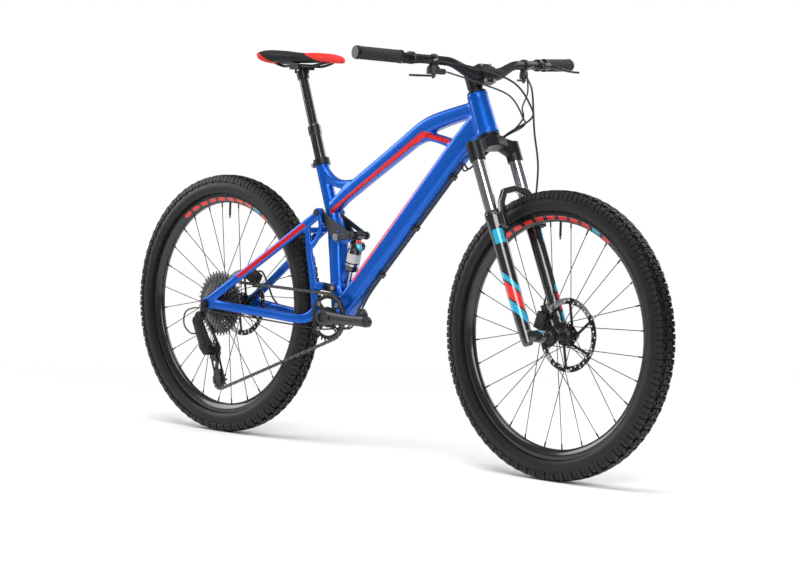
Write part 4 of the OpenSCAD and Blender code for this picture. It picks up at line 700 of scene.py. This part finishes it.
for outline, a0, a1 in (([(340, 1.2), (340, 9.6), (349, 9.0), (349, 1.8)], 0.02, 0.42),
                        (SHOULDER, 0.04, 0.46),
                        ([(340, 10.6), (340, 17), (347.4, 16.2), (348.2, 11.2)], 0.27, 0.66),
                        (SHORT_SHOULDER, 0.54, 0.92)):
    TREAD += [(outline, a0, a1), ([(r, -y) for r, y in outline], a0, a1)]
PITCHES = 72
ROTOR_CARRIER_R = 74.5
VALVE = ((239, 274, 3), (231, 240, 2))
DASH_LOW, DASH_HIGH, DASH_IN = 278.5, 287.5, 6
DASH_FROM, DASH_TO, DASH_PITCH, DASH_HALF = 53, 128, 7.5, 2.7
CYAN_FROM, CYAN_TO = 60.5, 68
MM_PER_DEGREE = 5
AXLE_REAR = Vector((-600, 0, 349))


def knob(bm, outline, a0, a1):
    """Tread block: an outline of radius and width swept between two angles about the axle."""
    dots = [bm.verts.new((r * math.cos(a0) * MM, r * math.sin(a0) * MM, y * MM)) for r, y in outline]
    face = bmesh.ops.contextual_create(bm, geom=dots)["faces"]
    bmesh.ops.spin(bm, geom=dots + list(face[0].edges) + face, cent=(0, 0, 0), axis=(0, 0, 1),
                   angle=a1 - a0, steps=1, use_duplicate=False)


rim_black = finish("rim_black", (0.010, 0.010, 0.011), rough=0.26, metal=0.35, coat=0.5, grain=1800,
                   relief=0.02)
overlay(rim_black, "red_dash", STRIPE_RED)
overlay(rim_black, "cyan_dash", CYAN)
for end, axle in (("front", AXLE_FRONT), ("rear", AXLE_REAR)):
    body = end + "_wheel"
    place = along_axis(axle, (0, 1, 0))
    shape = bmesh.new()
    turned(shape, TYRE_SIDE + [(r, -y) for r, y in reversed(TYRE_SIDE)], place, 180, closed=True)
    old = set(shape.verts)
    step = 2 * math.pi / PITCHES
    for outline, a0, a1 in TREAD:
        knob(shape, outline, a0 * step, a1 * step)
    made = [v for v in shape.verts if v not in old]
    bmesh.ops.transform(shape, matrix=place, verts=made)
    edges = list({e for v in made for e in v.link_edges})
    faces = list({f for v in made for f in v.link_faces})
    bmesh.ops.spin(shape, geom=made + edges + faces, cent=axle * MM, axis=(0, 1, 0), angle=2 * math.pi - step,
                   steps=PITCHES - 1, use_duplicate=True)
    piece(end + "_tyre_dressed", shape, body, tread_rubber, [end + "_tyre"], sharp=32)
    shape = bmesh.new()
    turned(shape, RIM_SIDE + [(r, -y) for r, y in reversed(RIM_SIDE)], place, 360, closed=True)
    for low, high, r in VALVE:
        rod(shape, axle + Vector((0, 0, low)), axle + Vector((0, 0, high)), r)
    rim_mesh = meshed(shape, end + "_rim")
    dots = points_of(rim_mesh) - np.array(axle)
    reach = np.hypot(dots[:, 0], dots[:, 2])
    turn = np.degrees(np.arctan2(dots[:, 2], dots[:, 0])) % 360
    on_rim = np.maximum(strip(reach, DASH_LOW, DASH_HIGH), DASH_IN - np.abs(dots[:, 1]))
    dash = np.abs((turn - DASH_FROM) % DASH_PITCH - DASH_PITCH / 2) - DASH_HALF
    dash = np.maximum(np.maximum(dash, strip(turn, DASH_FROM, DASH_TO)) * MM_PER_DEGREE, on_rim)
    store(rim_mesh, "red_dash", dash)
    store(rim_mesh, "cyan_dash", np.maximum(strip(turn, CYAN_FROM, CYAN_TO) * MM_PER_DEGREE, dash))
    piece(end + "_rim_dressed", rim_mesh, body, rim_black, [end + "_rim"], sharp=32)
    cast(end + "_spokes", body, spoke_black)
    cast(end + "_hub", body, anodised)
    rotor = cast(end + "_rotor", body, steel)
    rotor.data.materials.append(anodised)
    for face in rotor.data.polygons:
        spot = face.center / MM - axle
        if math.hypot(spot.x, spot.z) < ROTOR_CARRIER_R:
            face.material_index = 1
cog_steel = finish("cassette_steel", (0.20, 0.20, 0.205), rough=0.34, metal=1.0, grain=2400, relief=0.05)
cast("cassette", "cassette", cog_steel)

# Rear triangle. Formed aluminium stays and uprights welded to cross bars and dropouts, in the frame's blue
# with a red line on the seatstays. The axle screws into the right dropout; the caliper is bolted to the left
# seatstay.
LINK_STAY = Vector((-208, 0, 611))
LOW_STAY = Vector((-193, 0, 420))
BRIDGE_HIGH, BRIDGE_LOW, BRIDGE_R, BRIDGE_HALF = (-266, 0, 562), (-228, 0, 346), 8, 43
STAY_STRIPE, STAY_STRIPE_HALF = [(-253, 575), (-340, 520), (-430, 461), (-474, 432)], 6.2


def on_stay(s, rows):
    return [((x, s * y, z), w, d) for x, y, z, w, d in rows]


shape = bmesh.new()
for s in SIDES:
    loft(shape, on_stay(s, [(-203, 39.5, 378, 5.5, 12), (-212, 40, 352, 6, 13), (-236, 43, 335, 7, 13),
                            (-275, 48, 331, 7.5, 12), (-350, 51, 335, 8, 11.5), (-440, 59, 341, 8, 11.5),
                            (-510, 71, 346, 7.5, 12), (-560, 75, 349, 5, 13),
                            (-596, 75, 350, 4, 14)]), 3.5, 24)
    loft(shape, on_stay(s, [(-204, 39.5, 616, 5.5, 9), (-222, 40, 597, 6, 12), (-262, 43, 571, 6.5, 12),
                            (-340, 50, 520, 6.5, 11.5), (-430, 60, 461, 6.5, 11), (-510, 71, 408, 6, 11),
                            (-558, 75, 377, 5, 12), (-590, 75, 357, 4, 13)]), 3.5, 24)
    loft(shape, on_stay(s, [(-246, 41.5, 584, 5.5, 9), (-241, 41, 545, 5.5, 9), (-232, 40, 490, 5.5, 10),
                      (-219, 39.5, 430, 5.5, 11), (-208, 39.5, 358, 5.5, 12)]), 3.5, 24)
    loft(shape, on_stay(s, [(-205, 39.5, 606, 5, 7), (-197, 39.5, 580, 5, 6), (-203, 39.5, 553, 5, 6),
                      (-220, 39.5, 530, 5, 6.5), (-238, 40.5, 514, 5, 7)]), 3, 20)
    loft(shape, on_stay(s, [(-191, 39.5, 420, 5.5, 9), (-206, 39.5, 422, 5.5, 10),
                            (-221, 39.5, 428, 5.5, 12)]), 3, 20)
    across(shape, LINK_STAY, s * 34, s * 45, 12)
    across(shape, LOW_STAY, s * 34, s * 45, 11)
    across(shape, LOW_STAY, s * 27, s * 35, 6)
    across(shape, AXLE_REAR, s * 71, s * 79, 17)
for bridge in (BRIDGE_HIGH, BRIDGE_LOW):
    across(shape, bridge, -BRIDGE_HALF, BRIDGE_HALF, BRIDGE_R)
stays_mesh = fused(shape, "stays", voxel=1.6, rounds=4)
dots = points_of(stays_mesh)
line = side_distance(dots, STAY_STRIPE) - STAY_STRIPE_HALF
outer = np.interp(-dots[:, 0], [222, 262, 340, 430, 510], [40, 43, 50, 60, 71])
store(stays_mesh, "stripe", np.maximum(line, outer + 3.4 - np.abs(dots[:, 1])))
piece("stays_dressed", stays_mesh, "rear_triangle", pearl, ["rear_triangle"], sharp=50)
cast("rear_axle", "rear_triangle", anodised, bevel=0.6)
cast("rear_caliper", "rear_triangle", dark_cast, bevel=1.2)

# Rear derailleur. Forged knuckles on a hanger at the right dropout, with a bolted cage and two toothed jockey
# pulleys. Sprung arms join the knuckles and swing the cage across the cassette.
KNUCKLE, GUIDE = Vector((-607, 0, 315)), Vector((-613, 0, 221))


def lump(bm, *ends):
    """Forged lump stretched round bars across the bike: offsets, two widths and a radius for each."""
    hulled(bm, *[(p + Vector((x, y0, z)), p + Vector((x, y1, z)), r) for p, x, z, y0, y1, r in ends])


shape = bmesh.new()
lump(shape, (AXLE_REAR, 0, 0, -84, -79.3, 11.5), (KNUCKLE, 0, 0, -84, -79.3, 12))
lump(shape, (KNUCKLE, 0, 0, -99, -82, 13.5), (KNUCKLE, -14, -16, -97, -84, 10))
lump(shape, (KNUCKLE, -9, -12, -102, -94, 11), (GUIDE, -6, 22, -75, -66, 12))
lump(shape, (KNUCKLE, -4, -14, -91, -84, 8), (GUIDE, 0, 16, -60, -50, 9))
lump(shape, (GUIDE, 0, 0, -66, -43.4, 13.5), (GUIDE, -10, 12, -70, -50, 12))
across(shape, KNUCKLE, -101.5, -98, 8)
across(shape, GUIDE, -68.5, -65, 8.5)
knife = bmesh.new()
across(knife, KNUCKLE, -110, -99.5, 3.2, 6)
piece("derailleur_dressed", fused(shape, "derailleur", [knife]), "rear_triangle", anodised,
      ["derailleur_body"], sharp=50)
cast("derailleur_cage", "derailleur_cage", dark_cast, bevel=0.6)
cast("pulley_guide", "pulley_guide", moulded)
cast("pulley_tension", "pulley_tension", moulded)

# Brake hose and gear cable beyond the bottom bracket. The same nylon jackets, tied along the chainstays to
# the caliper and the derailleur.
shape = bmesh.new()
hose(shape, [(-151.05, 10.35, 312.75), (-190, 24, 308), (-240, 46, 308), (-290, 63, 316), (-340, 65, 330),
             (-440, 72, 338), (-505, 84, 362), (-530, 84, 400), (-540, 72, 434), (-552, 66, 438)],
     BRAKE_HOSE_R)
hose(shape, [(-151.05, -10.35, 312.75), (-190, -26, 308), (-240, -40, 311), (-350, -48, 317),
             (-450, -57, 323), (-530, -82, 327), (-600, -98, 338), (-652, -102, 326),
             (-660, -102, 290), (-638, -98, 268), (-622, -90, 267)], CABLE_R)
rear_hoses = piece("rear_hoses_dressed", shape, None, hose_jacket, ["rear_hoses"], sharp=60)
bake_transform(rear_hoses)

# Suspension links. Machined aluminium plates with a window, anodised gunmetal, on dark pivot bolts. The upper
# link drives the shock, and the short lower one guides the rear triangle.
LINK_IN, LINK_OUT = 26.2, 32.9
gunmetal = finish("gunmetal", (0.075, 0.073, 0.072), rough=0.34, metal=0.85, grain=2600, relief=0.04)
shape = bmesh.new()
for s in SIDES:
    for a, b, ra, rb in ((LINK_STAY, LINK_FRAME, 11.5, 12), (LINK_FRAME, LINK_SHOCK, 7.5, 7.5),
                         (LINK_STAY, LINK_SHOCK, 5.5, 6)):
        hulled(shape, *[(p + Vector((0, s * LINK_IN, 0)), p + Vector((0, s * LINK_OUT, 0)), r)
                        for p, r in ((a, ra), (b, rb))])
    across(shape, LINK_SHOCK, s * LINK_IN, s * LINK_OUT, 10.8)
piece("upper_link_dressed", fused(shape, "upper_link"), "upper_link", gunmetal, ["upper_link"],
      sharp=50)
cast("link_bolts", "upper_link", dark_cast, bevel=0.6)
cast("lower_link", "lower_link", gunmetal, bevel=0.8)

# Shock. A turned air can, painted black, slides over a polished shaft between the upper link and the frame.
# It carries a pale sleeve, a cyan lever and a red knob.
cast("shock_can", "shock_can", gloss_black, bevel=0.6)
cast("shock_shaft", "shock_shaft", polished, bevel=0.6)
SHOCK_AHEAD = Vector((SHOCK_UP.z, 0, -SHOCK_UP.x))


def by_shock(t, x, y):
    return SHOCK_FOOT + SHOCK_UP * t + SHOCK_AHEAD * x + Vector((0, y, 0))


shape = bmesh.new()
turned(shape, [(17.4, 95), (18.3, 95.5), (18.3, 118.5), (17.4, 119)], along_axis(SHOCK_FOOT, SHOCK_UP),
       closed=True)
pale_sleeve = finish("shock_sleeve", (0.50, 0.47, 0.46), rough=0.42, grain=1800, relief=0.03)
piece("shock_sleeve", shape, "shock_can", pale_sleeve)
shape = bmesh.new()
turned(shape, [(17.4, 86), (18.8, 86.6), (18.8, 91.4), (17.4, 92)], along_axis(SHOCK_FOOT, SHOCK_UP),
       closed=True)
piece("shock_ring", shape, "shock_can", steel)
shape = bmesh.new()
hulled(shape, (by_shock(139, 16.5, -11), by_shock(139, 16.5, 9), 9),
       (by_shock(146, 24, -12), by_shock(146, 24, 4), 6))
piece("shock_valve", fused(shape, "shock_valve", voxel=0.9), "shock_can", anodised,
      sharp=50)
shape = bmesh.new()
hulled(shape, (by_shock(145, 25, -17), by_shock(145, 25, -11), 7),
       (by_shock(140, 38, -21), by_shock(140, 38, -16), 4))
cyan_alloy = finish("cyan_lever", CYAN, rough=0.34, metal=0.3, coat=0.3, grain=2400, relief=0.03)
piece("shock_lever", fused(shape, "shock_lever", voxel=0.8), "shock_can", cyan_alloy,
      sharp=50)
shape = bmesh.new()
turned(shape, [(0, 0), (5, 0), (6, 1), (6, 6), (5, 7), (0, 7)],
       along_axis(by_shock(155, 22, -17), (0, 1, 0)), 20)
red_alloy = finish("red_knob", STRIPE_RED, rough=0.34, metal=0.3, coat=0.3, grain=2400, relief=0.03)
piece("shock_knob", shape, "shock_can", red_alloy)

# Cranks and chainring. Hollow-forged arms in dark satin grey on a steel spindle. The ring is stamped with
# tall teeth and held by four bolts.
crank_grey = finish("crank_grey", (0.035, 0.035, 0.037), rough=0.36, metal=0.6, coat=0.2, grain=2600,
                    relief=0.03)
CRANK_ARM = [(-18, 67, 4, 8), (-14, 67.5, 7, 14), (-6, 68, 8, 18.5), (8, 68, 8, 19), (26, 68.6, 8, 17.5),
             (60, 70.8, 8, 14.5), (105, 74.2, 7.6, 13.2), (145, 77.8, 7.2, 13), (172, 80.6, 7, 13.5),
             (183, 81.4, 6.6, 11), (188, 81.6, 4, 5)]
CRANK_LEN, PEDAL_HOLE_R = 175, 7.1
RING_BOLTS, RING_BOLT_CIRCLE_R, RING_FACE_Y = 4, 46, -49.4
for s, side_name in ((-1, "right"), (1, "left")):
    shape = bmesh.new()
    loft(shape, [(BB + Vector((-s * x, s * y, 0)), w, d) for x, y, w, d in CRANK_ARM], 3.4, 32)
    eye = BB + Vector((-s * CRANK_LEN, 0, 0))
    across(shape, BB, s * (47 if s > 0 else 57), s * 76.6, 19)
    across(shape, eye, s * 74, s * 88, 13.6)
    hole, mouth, groove = bmesh.new(), bmesh.new(), bmesh.new()
    across(hole, eye, s * 60, s * 100, PEDAL_HOLE_R)
    across(mouth, BB, s * 72.5, s * 90, 10.5)
    hulled(groove, (BB + Vector((-s * 34, s * 74.8, 0)), BB + Vector((-s * 34, s * 90, 0)), 6.5),
           (BB + Vector((-s * 128, s * 82, 0)), BB + Vector((-s * 128, s * 95, 0)), 5))
    arm_mesh = fused(shape, "arm_" + side_name, [hole, mouth, groove])
    node = "crank_" + side_name
    piece(node + "_dressed", arm_mesh, "crankset", crank_grey, [node], sharp=42)
shape = bmesh.new()
across(shape, BB, -58, 72, 12)
piece("crank_spindle", shape, "crankset", steel)
cast("chainring", "crankset", anodised, bevel=0.4)
shape = bmesh.new()
for k in range(RING_BOLTS):
    a = 2 * math.pi * (k + 0.5) / RING_BOLTS
    spot = BB + Vector((RING_BOLT_CIRCLE_R * math.cos(a), RING_FACE_Y, RING_BOLT_CIRCLE_R * math.sin(a)))
    turned(shape, [(0, 0), (5, 0), (5.6, 0.8), (5.6, 4), (3, 4), (3, 2.4), (0, 2.4)],
           along_axis(spot, (0, -1, 0)), 24)
piece("ring_bolts", shape, "crankset", steel)

# Chain. Stamped steel plates riveted over rollers, dark with oil. It runs round the ring, a cog in the middle
# of the cassette and the two pulleys.
PITCH = 12.7
RING_Y, COG_Y = -51.0, -34.8
TENSION = Vector((-582, 0, 143))
WHEELS = ((BB, 30, -1, RING_Y), (TENSION, 12, -1, COG_Y), (GUIDE, 12, 1, COG_Y), (AXLE_REAR, 32, -1, COG_Y))
PLATE, PLATE_HALF, INNER_Y, OUTER_Y = 0.9, 4.2, 1.3, 2.4
PIN_R, PIN_HALF = 1.9, Vector((0, 3.5, 0))
ROLLER_R, ROLLER_HALF = 3.7, Vector((0, 1.4, 0))


def wheel_radius(teeth):
    return PITCH / 2 / math.sin(math.pi / teeth)


def belt(a, b):
    """Direction of the straight run that leaves one toothed wheel and meets the next."""
    run = b[0] - a[0]
    rise = b[2] * wheel_radius(b[1]) - a[2] * wheel_radius(a[1])
    return math.atan2(run.z, run.x) - math.asin(rise / run.length)


def plate(bm, a, b, y, thick, half):
    """Waisted chain plate between two pins, standing to one side of them."""
    run = (b - a).normalized()
    out = (Vector((0, 1, 0)) - run * run.y).normalized()
    place = Matrix.Translation(a) @ Matrix((run, out.cross(run), out)).transposed().to_4x4()
    length = (b - a).length
    outline = [(half * math.cos(math.radians(d)), half * math.sin(math.radians(d)))
               for d in (90, 135, 180, 225, 270)]
    outline += [(length / 2, -0.7 * half)]
    outline += [(length - x, -z) for x, z in outline[:5]] + [(length / 2, 0.7 * half)]
    dots = [bm.verts.new(place @ Vector((x, z, y)) * MM) for x, z in outline]
    face = bmesh.ops.contextual_create(bm, geom=dots)["faces"]
    grown = bmesh.ops.extrude_face_region(bm, geom=face)["geom"]
    moved = [v for v in grown if isinstance(v, bmesh.types.BMVert)]
    bmesh.ops.translate(bm, verts=moved, vec=out * thick * MM)


turns = []
for i, (centre, teeth, sense, y) in enumerate(WHEELS):
    start = belt(WHEELS[i - 1], WHEELS[i])
    swept = sense * (belt(WHEELS[i], WHEELS[(i + 1) % len(WHEELS)]) - start) % (2 * math.pi)
    angles = [start + sense * (k * 2 * math.pi / teeth - math.pi / 2)
              for k in range(round(swept * teeth / 2 / math.pi) + 1)]
    r = wheel_radius(teeth)
    turns.append([centre + Vector((r * math.cos(a), y, r * math.sin(a))) for a in angles])
pins = []
for i, turn in enumerate(turns):
    far = turns[(i + 1) % len(turns)][0]
    gaps = round((far - turn[-1]).length / PITCH)
    pins += turn + [turn[-1].lerp(far, k / gaps) for k in range(1, gaps)]
shape = bmesh.new()
for k, (a, b) in enumerate(zip(pins, pins[1:] + pins[:1])):
    near = INNER_Y if k % 2 else OUTER_Y
    plate(shape, a, b, near, PLATE, PLATE_HALF)
    plate(shape, a, b, -near - PLATE, PLATE, PLATE_HALF)
    rod(shape, a - PIN_HALF, a + PIN_HALF, PIN_R, segments=8)
    rod(shape, a - ROLLER_HALF, a + ROLLER_HALF, ROLLER_R, segments=10)
oiled = finish("chain_steel", (0.12, 0.12, 0.12), rough=0.33, metal=1.0, grain=2600, relief=0.04)
chain = piece("chain_dressed", shape, None, oiled, ["chain"], sharp=40)
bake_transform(chain)

# Dropper post. A black fixed tube with a turned collar, clamped in the seat tube, the aluminium tube that
# slides in it, and the forged clamp that holds the saddle's rails.
cast("dropper_outer", "frame", gloss_black, bevel=0.6)
cast("dropper_upper", "seatpost", gloss_black, bevel=0.4)
cast("seat_head", "seatpost", anodised, bevel=1.2)
cast("saddle_rails", "seatpost", anodised)

# Saddle. Foam on a moulded shell under a stretched synthetic cover, black with a red nose and red rear
# corners. The cover swells as cloth over its held underside, then is drawn in along the centre channel and
# the panel seams.
REST = Vector((-328.1, 0, 979.2))
SADDLE = [(154, 26, 6, 3.5), (150, 27, 12.5, 7.5), (139, 29.5, 16.5, 10), (110, 32.5, 19.5, 12),
          (60, 34, 23.5, 13), (10, 34, 32.5, 13.5), (-35, 35, 48.5, 14.5), (-70, 35, 63.5, 18),
          (-95, 37, 68.5, 17.5), (-108, 41, 64.5, 13), (-113, 45, 54.5, 6.5)]
NOSE_X, NOSE_Z, NOSE_LEAN, NOSE_SCALE = 19, 48, 2.7, 2.9
CORNER_X, CORNER_Z, CORNER_LEAN, CORNER_SCALE, CORNER_IN = -111.5, 52.7, 0.64, 0.84, 24
CHANNEL_BACK, CHANNEL_FRONT, CHANNEL_HALF, CHANNEL_DEPTH = -100, 40, 8, 4.5
SEAM_HALF, SEAM_DEPTH = 1.7, 0.8


def swollen(bm, name, voxel, pressure, cap):
    """Cover over foam: a closed form on an even grid, blown up as cloth but held where it faces down."""
    mesh = fused(bm, name, voxel=voxel)
    dots = points_of(mesh)
    soft = bpy.data.objects.new(name + "_soft", mesh)
    bpy.context.collection.objects.link(soft)
    held = soft.vertex_groups.new(name="held")
    held.add([v.index for v in mesh.vertices if v.normal.z < -0.35], 1.0, "REPLACE")
    cloth = soft.modifiers.new("cloth", "CLOTH").settings
    cloth.use_pressure = True
    cloth.uniform_pressure_force = pressure
    cloth.vertex_group_mass = "held"
    cloth.effector_weights.gravity = 0.0
    for f in range(1, 21):
        bpy.context.scene.frame_set(f)
    blown = soft.evaluated_get(bpy.context.evaluated_depsgraph_get())
    move = points_of(blown.to_mesh()) - dots
    blown.to_mesh_clear()
    reach = np.linalg.norm(move, axis=1, keepdims=True)
    dots += move * np.minimum(1, cap / np.maximum(reach, 1e-6))
    bpy.context.scene.frame_set(1)
    bpy.data.objects.remove(soft)
    mesh.vertices.foreach_set("co", (dots * MM).ravel())
    mesh.update()
    return mesh


shape = bmesh.new()
rims = []
rows = curved([((x * 1.012, 0, z), w, d) for x, z, w, d in SADDLE], 5)
for i, (centre, w, d) in enumerate(rows):
    ring = bmesh.ops.create_circle(shape, cap_ends=i in (0, len(rows) - 1), segments=40, radius=1.0)["verts"]
    for v in ring:
        wide, high = squared(v.co.x, 2.5), squared(v.co.y, 2.1 if v.co.y > 0 else 3.4)
        v.co = (REST + Vector((centre.x, w * wide, centre.z + d * high))) * MM
    rims.append(rim_of(ring))
skin(shape, rims)
cover_mesh = swollen(shape, "saddle_cover", voxel=3.0, pressure=4.0, cap=1.6)
dots = points_of(cover_mesh)
faces_out = np.empty(len(dots) * 3)
cover_mesh.vertices.foreach_get("normal", faces_out)
faces_out = faces_out.reshape(-1, 3)
x, y, z = (dots - np.array(REST)).T
nose = (NOSE_X + (NOSE_Z - z) * NOSE_LEAN - x) / NOSE_SCALE
corner = np.maximum((z - CORNER_Z + (x - CORNER_X) * CORNER_LEAN) * CORNER_SCALE, CORNER_IN - np.abs(y))
panel = np.minimum(nose, corner)
channel = np.exp(-(y / CHANNEL_HALF) ** 2) * np.clip((x - CHANNEL_BACK) / 30, 0, 1)
channel *= np.clip((CHANNEL_FRONT - x) / 40, 0, 1)
dots[:, 2] -= CHANNEL_DEPTH * channel * np.clip(faces_out[:, 2], 0, 1)
dots -= faces_out * (SEAM_DEPTH * np.exp(-(panel / SEAM_HALF) ** 2))[:, None]
cover_mesh.vertices.foreach_set("co", (dots * MM).ravel())
store(cover_mesh, "red_panel", panel)
saddle_cover = finish("saddle_cover", (0.011, 0.011, 0.012), rough=0.5, grain=1500, relief=0.22, shine=0.2)
PANEL_RED = (0.62, 0.028, 0.02)
overlay(saddle_cover, "red_panel", PANEL_RED)
saddle = piece("saddle_dressed", cover_mesh, "seatpost", saddle_cover, ["saddle"], sharp=60)
even = saddle.modifiers.new("even", "SUBSURF")
even.levels = even.render_levels = 1

# Camera at the photograph's angle, worked out from both tyres' outlines. The picture is 800 pixels wide, and
# the focal length was found in those pixels.
CAMERA_TARGET, CAMERA_DISTANCE = Vector((62, 0, 435.5)), 6671
PICTURE_WIDTH, FOCAL_PIXELS = 800, 2626
azimuth, elevation, roll = math.radians(45.1), math.radians(3.18), math.radians(1.75)
toward = Vector((math.sin(azimuth) * math.cos(elevation), -math.cos(azimuth) * math.cos(elevation),
                 math.sin(elevation)))
level = (-toward).cross(Vector((0, 0, 1))).normalized()
upright = level.cross(-toward)
right = math.cos(roll) * level + math.sin(roll) * upright
above = -math.sin(roll) * level + math.cos(roll) * upright
lens = bpy.data.cameras.new("camera")
lens.sensor_width = 36.0
lens.sensor_fit = "HORIZONTAL"
lens.lens = FOCAL_PIXELS / PICTURE_WIDTH * lens.sensor_width
lens.clip_end = 100.0
camera = bpy.data.objects.new("camera", lens)
camera.matrix_world = Matrix.Translation((CAMERA_TARGET + toward * CAMERA_DISTANCE) * MM) @ Matrix(
    (right, above, toward)).transposed().to_4x4()
bpy.context.collection.objects.link(camera)
bpy.context.scene.camera = camera

# Floor of white studio paper, rolled out flat. It takes the shadows near the wheels and fades to plain white
# further out.
paper = bpy.data.materials.new("studio_paper")
paper.use_nodes = True
nodes, links = paper.node_tree.nodes, paper.node_tree.links
nodes.remove(nodes["Principled BSDF"])
where = nodes.new("ShaderNodeTexCoord")
spread = nodes.new("ShaderNodeVectorMath")
spread.operation = "LENGTH"
links.new(where.outputs["Object"], spread.inputs[0])
fade = nodes.new("ShaderNodeMapRange")
fade.interpolation_type = "SMOOTHSTEP"
fade.inputs["From Min"].default_value = 0.8
fade.inputs["From Max"].default_value = 2.6
links.new(spread.outputs["Value"], fade.inputs["Value"])
matt = nodes.new("ShaderNodeBsdfDiffuse")
fibre = nodes.new("ShaderNodeTexNoise")
fibre.inputs["Scale"].default_value = 120.0
tone = nodes.new("ShaderNodeMapRange")
tone.inputs["To Min"].default_value = 0.90
tone.inputs["To Max"].default_value = 0.93
links.new(where.outputs["Object"], fibre.inputs["Vector"])
links.new(fibre.outputs["Fac"], tone.inputs["Value"])
links.new(tone.outputs["Result"], matt.inputs["Color"])
white = nodes.new("ShaderNodeEmission")
rays = nodes.new("ShaderNodeLightPath")
seen = nodes.new("ShaderNodeMath")
seen.operation = "MULTIPLY"
links.new(rays.outputs["Is Camera Ray"], seen.inputs[0])
links.new(fade.outputs["Result"], seen.inputs[1])
both = nodes.new("ShaderNodeMixShader")
links.new(seen.outputs["Value"], both.inputs["Fac"])
links.new(matt.outputs["BSDF"], both.inputs[1])
links.new(white.outputs["Emission"], both.inputs[2])
links.new(both.outputs["Shader"], nodes["Material Output"].inputs["Surface"])
shape = bmesh.new()
bmesh.ops.create_grid(shape, x_segments=8, y_segments=8, size=30.0)
floor_mesh = meshed(shape, "floor")
floor_mesh.materials.append(paper)
floor = bpy.data.objects.new("floor", floor_mesh)
bpy.context.collection.objects.link(floor)
floor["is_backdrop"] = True

# Studio light. A pale surround, seen as plain white, and four large soft boxes: above, ahead to the right,
# to the left and behind to the right.
world = bpy.data.worlds.new("studio")
bpy.context.scene.world = world
world.use_nodes = True
nodes, links = world.node_tree.nodes, world.node_tree.links
surround = nodes["Background"]
surround.inputs["Color"].default_value = (0.78, 0.80, 0.83, 1)
surround.inputs["Strength"].default_value = 0.3
bright = nodes.new("ShaderNodeBackground")
bright.inputs["Color"].default_value = (1, 1, 1, 1)
bright.inputs["Strength"].default_value = 1.0
rays = nodes.new("ShaderNodeLightPath")
pick = nodes.new("ShaderNodeMixShader")
links.new(rays.outputs["Is Camera Ray"], pick.inputs["Fac"])
links.new(surround.outputs["Background"], pick.inputs[1])
links.new(bright.outputs["Background"], pick.inputs[2])
links.new(pick.outputs["Shader"], nodes["World Output"].inputs["Surface"])
for name, spot, aim, size, power in (
        ("top_box", (0.4, -0.6, 3.2), (0.0, 0.0, 0.4), 2.6, 95),
        ("front_box", (3.0, -2.2, 1.9), (0.2, 0.0, 0.5), 2.0, 85),
        ("left_box", (0.2, 3.2, 1.8), (0.0, 0.0, 0.5), 2.4, 50),
        ("rear_box", (-3.2, -1.4, 1.6), (-0.3, 0.0, 0.5), 1.8, 50)):
    lamp = bpy.data.lights.new(name, "AREA")
    lamp.shape = "SQUARE"
    lamp.size = size
    lamp.energy = power
    box = bpy.data.objects.new(name, lamp)
    box.location = spot
    box.rotation_euler = (Vector(aim) - Vector(spot)).to_track_quat("-Z", "Y").to_euler()
    bpy.context.collection.objects.link(box)
bpy.context.scene.view_settings.view_transform = "Standard"

# Box round everything that renders, apart from the floor: the dressed model.
low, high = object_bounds()
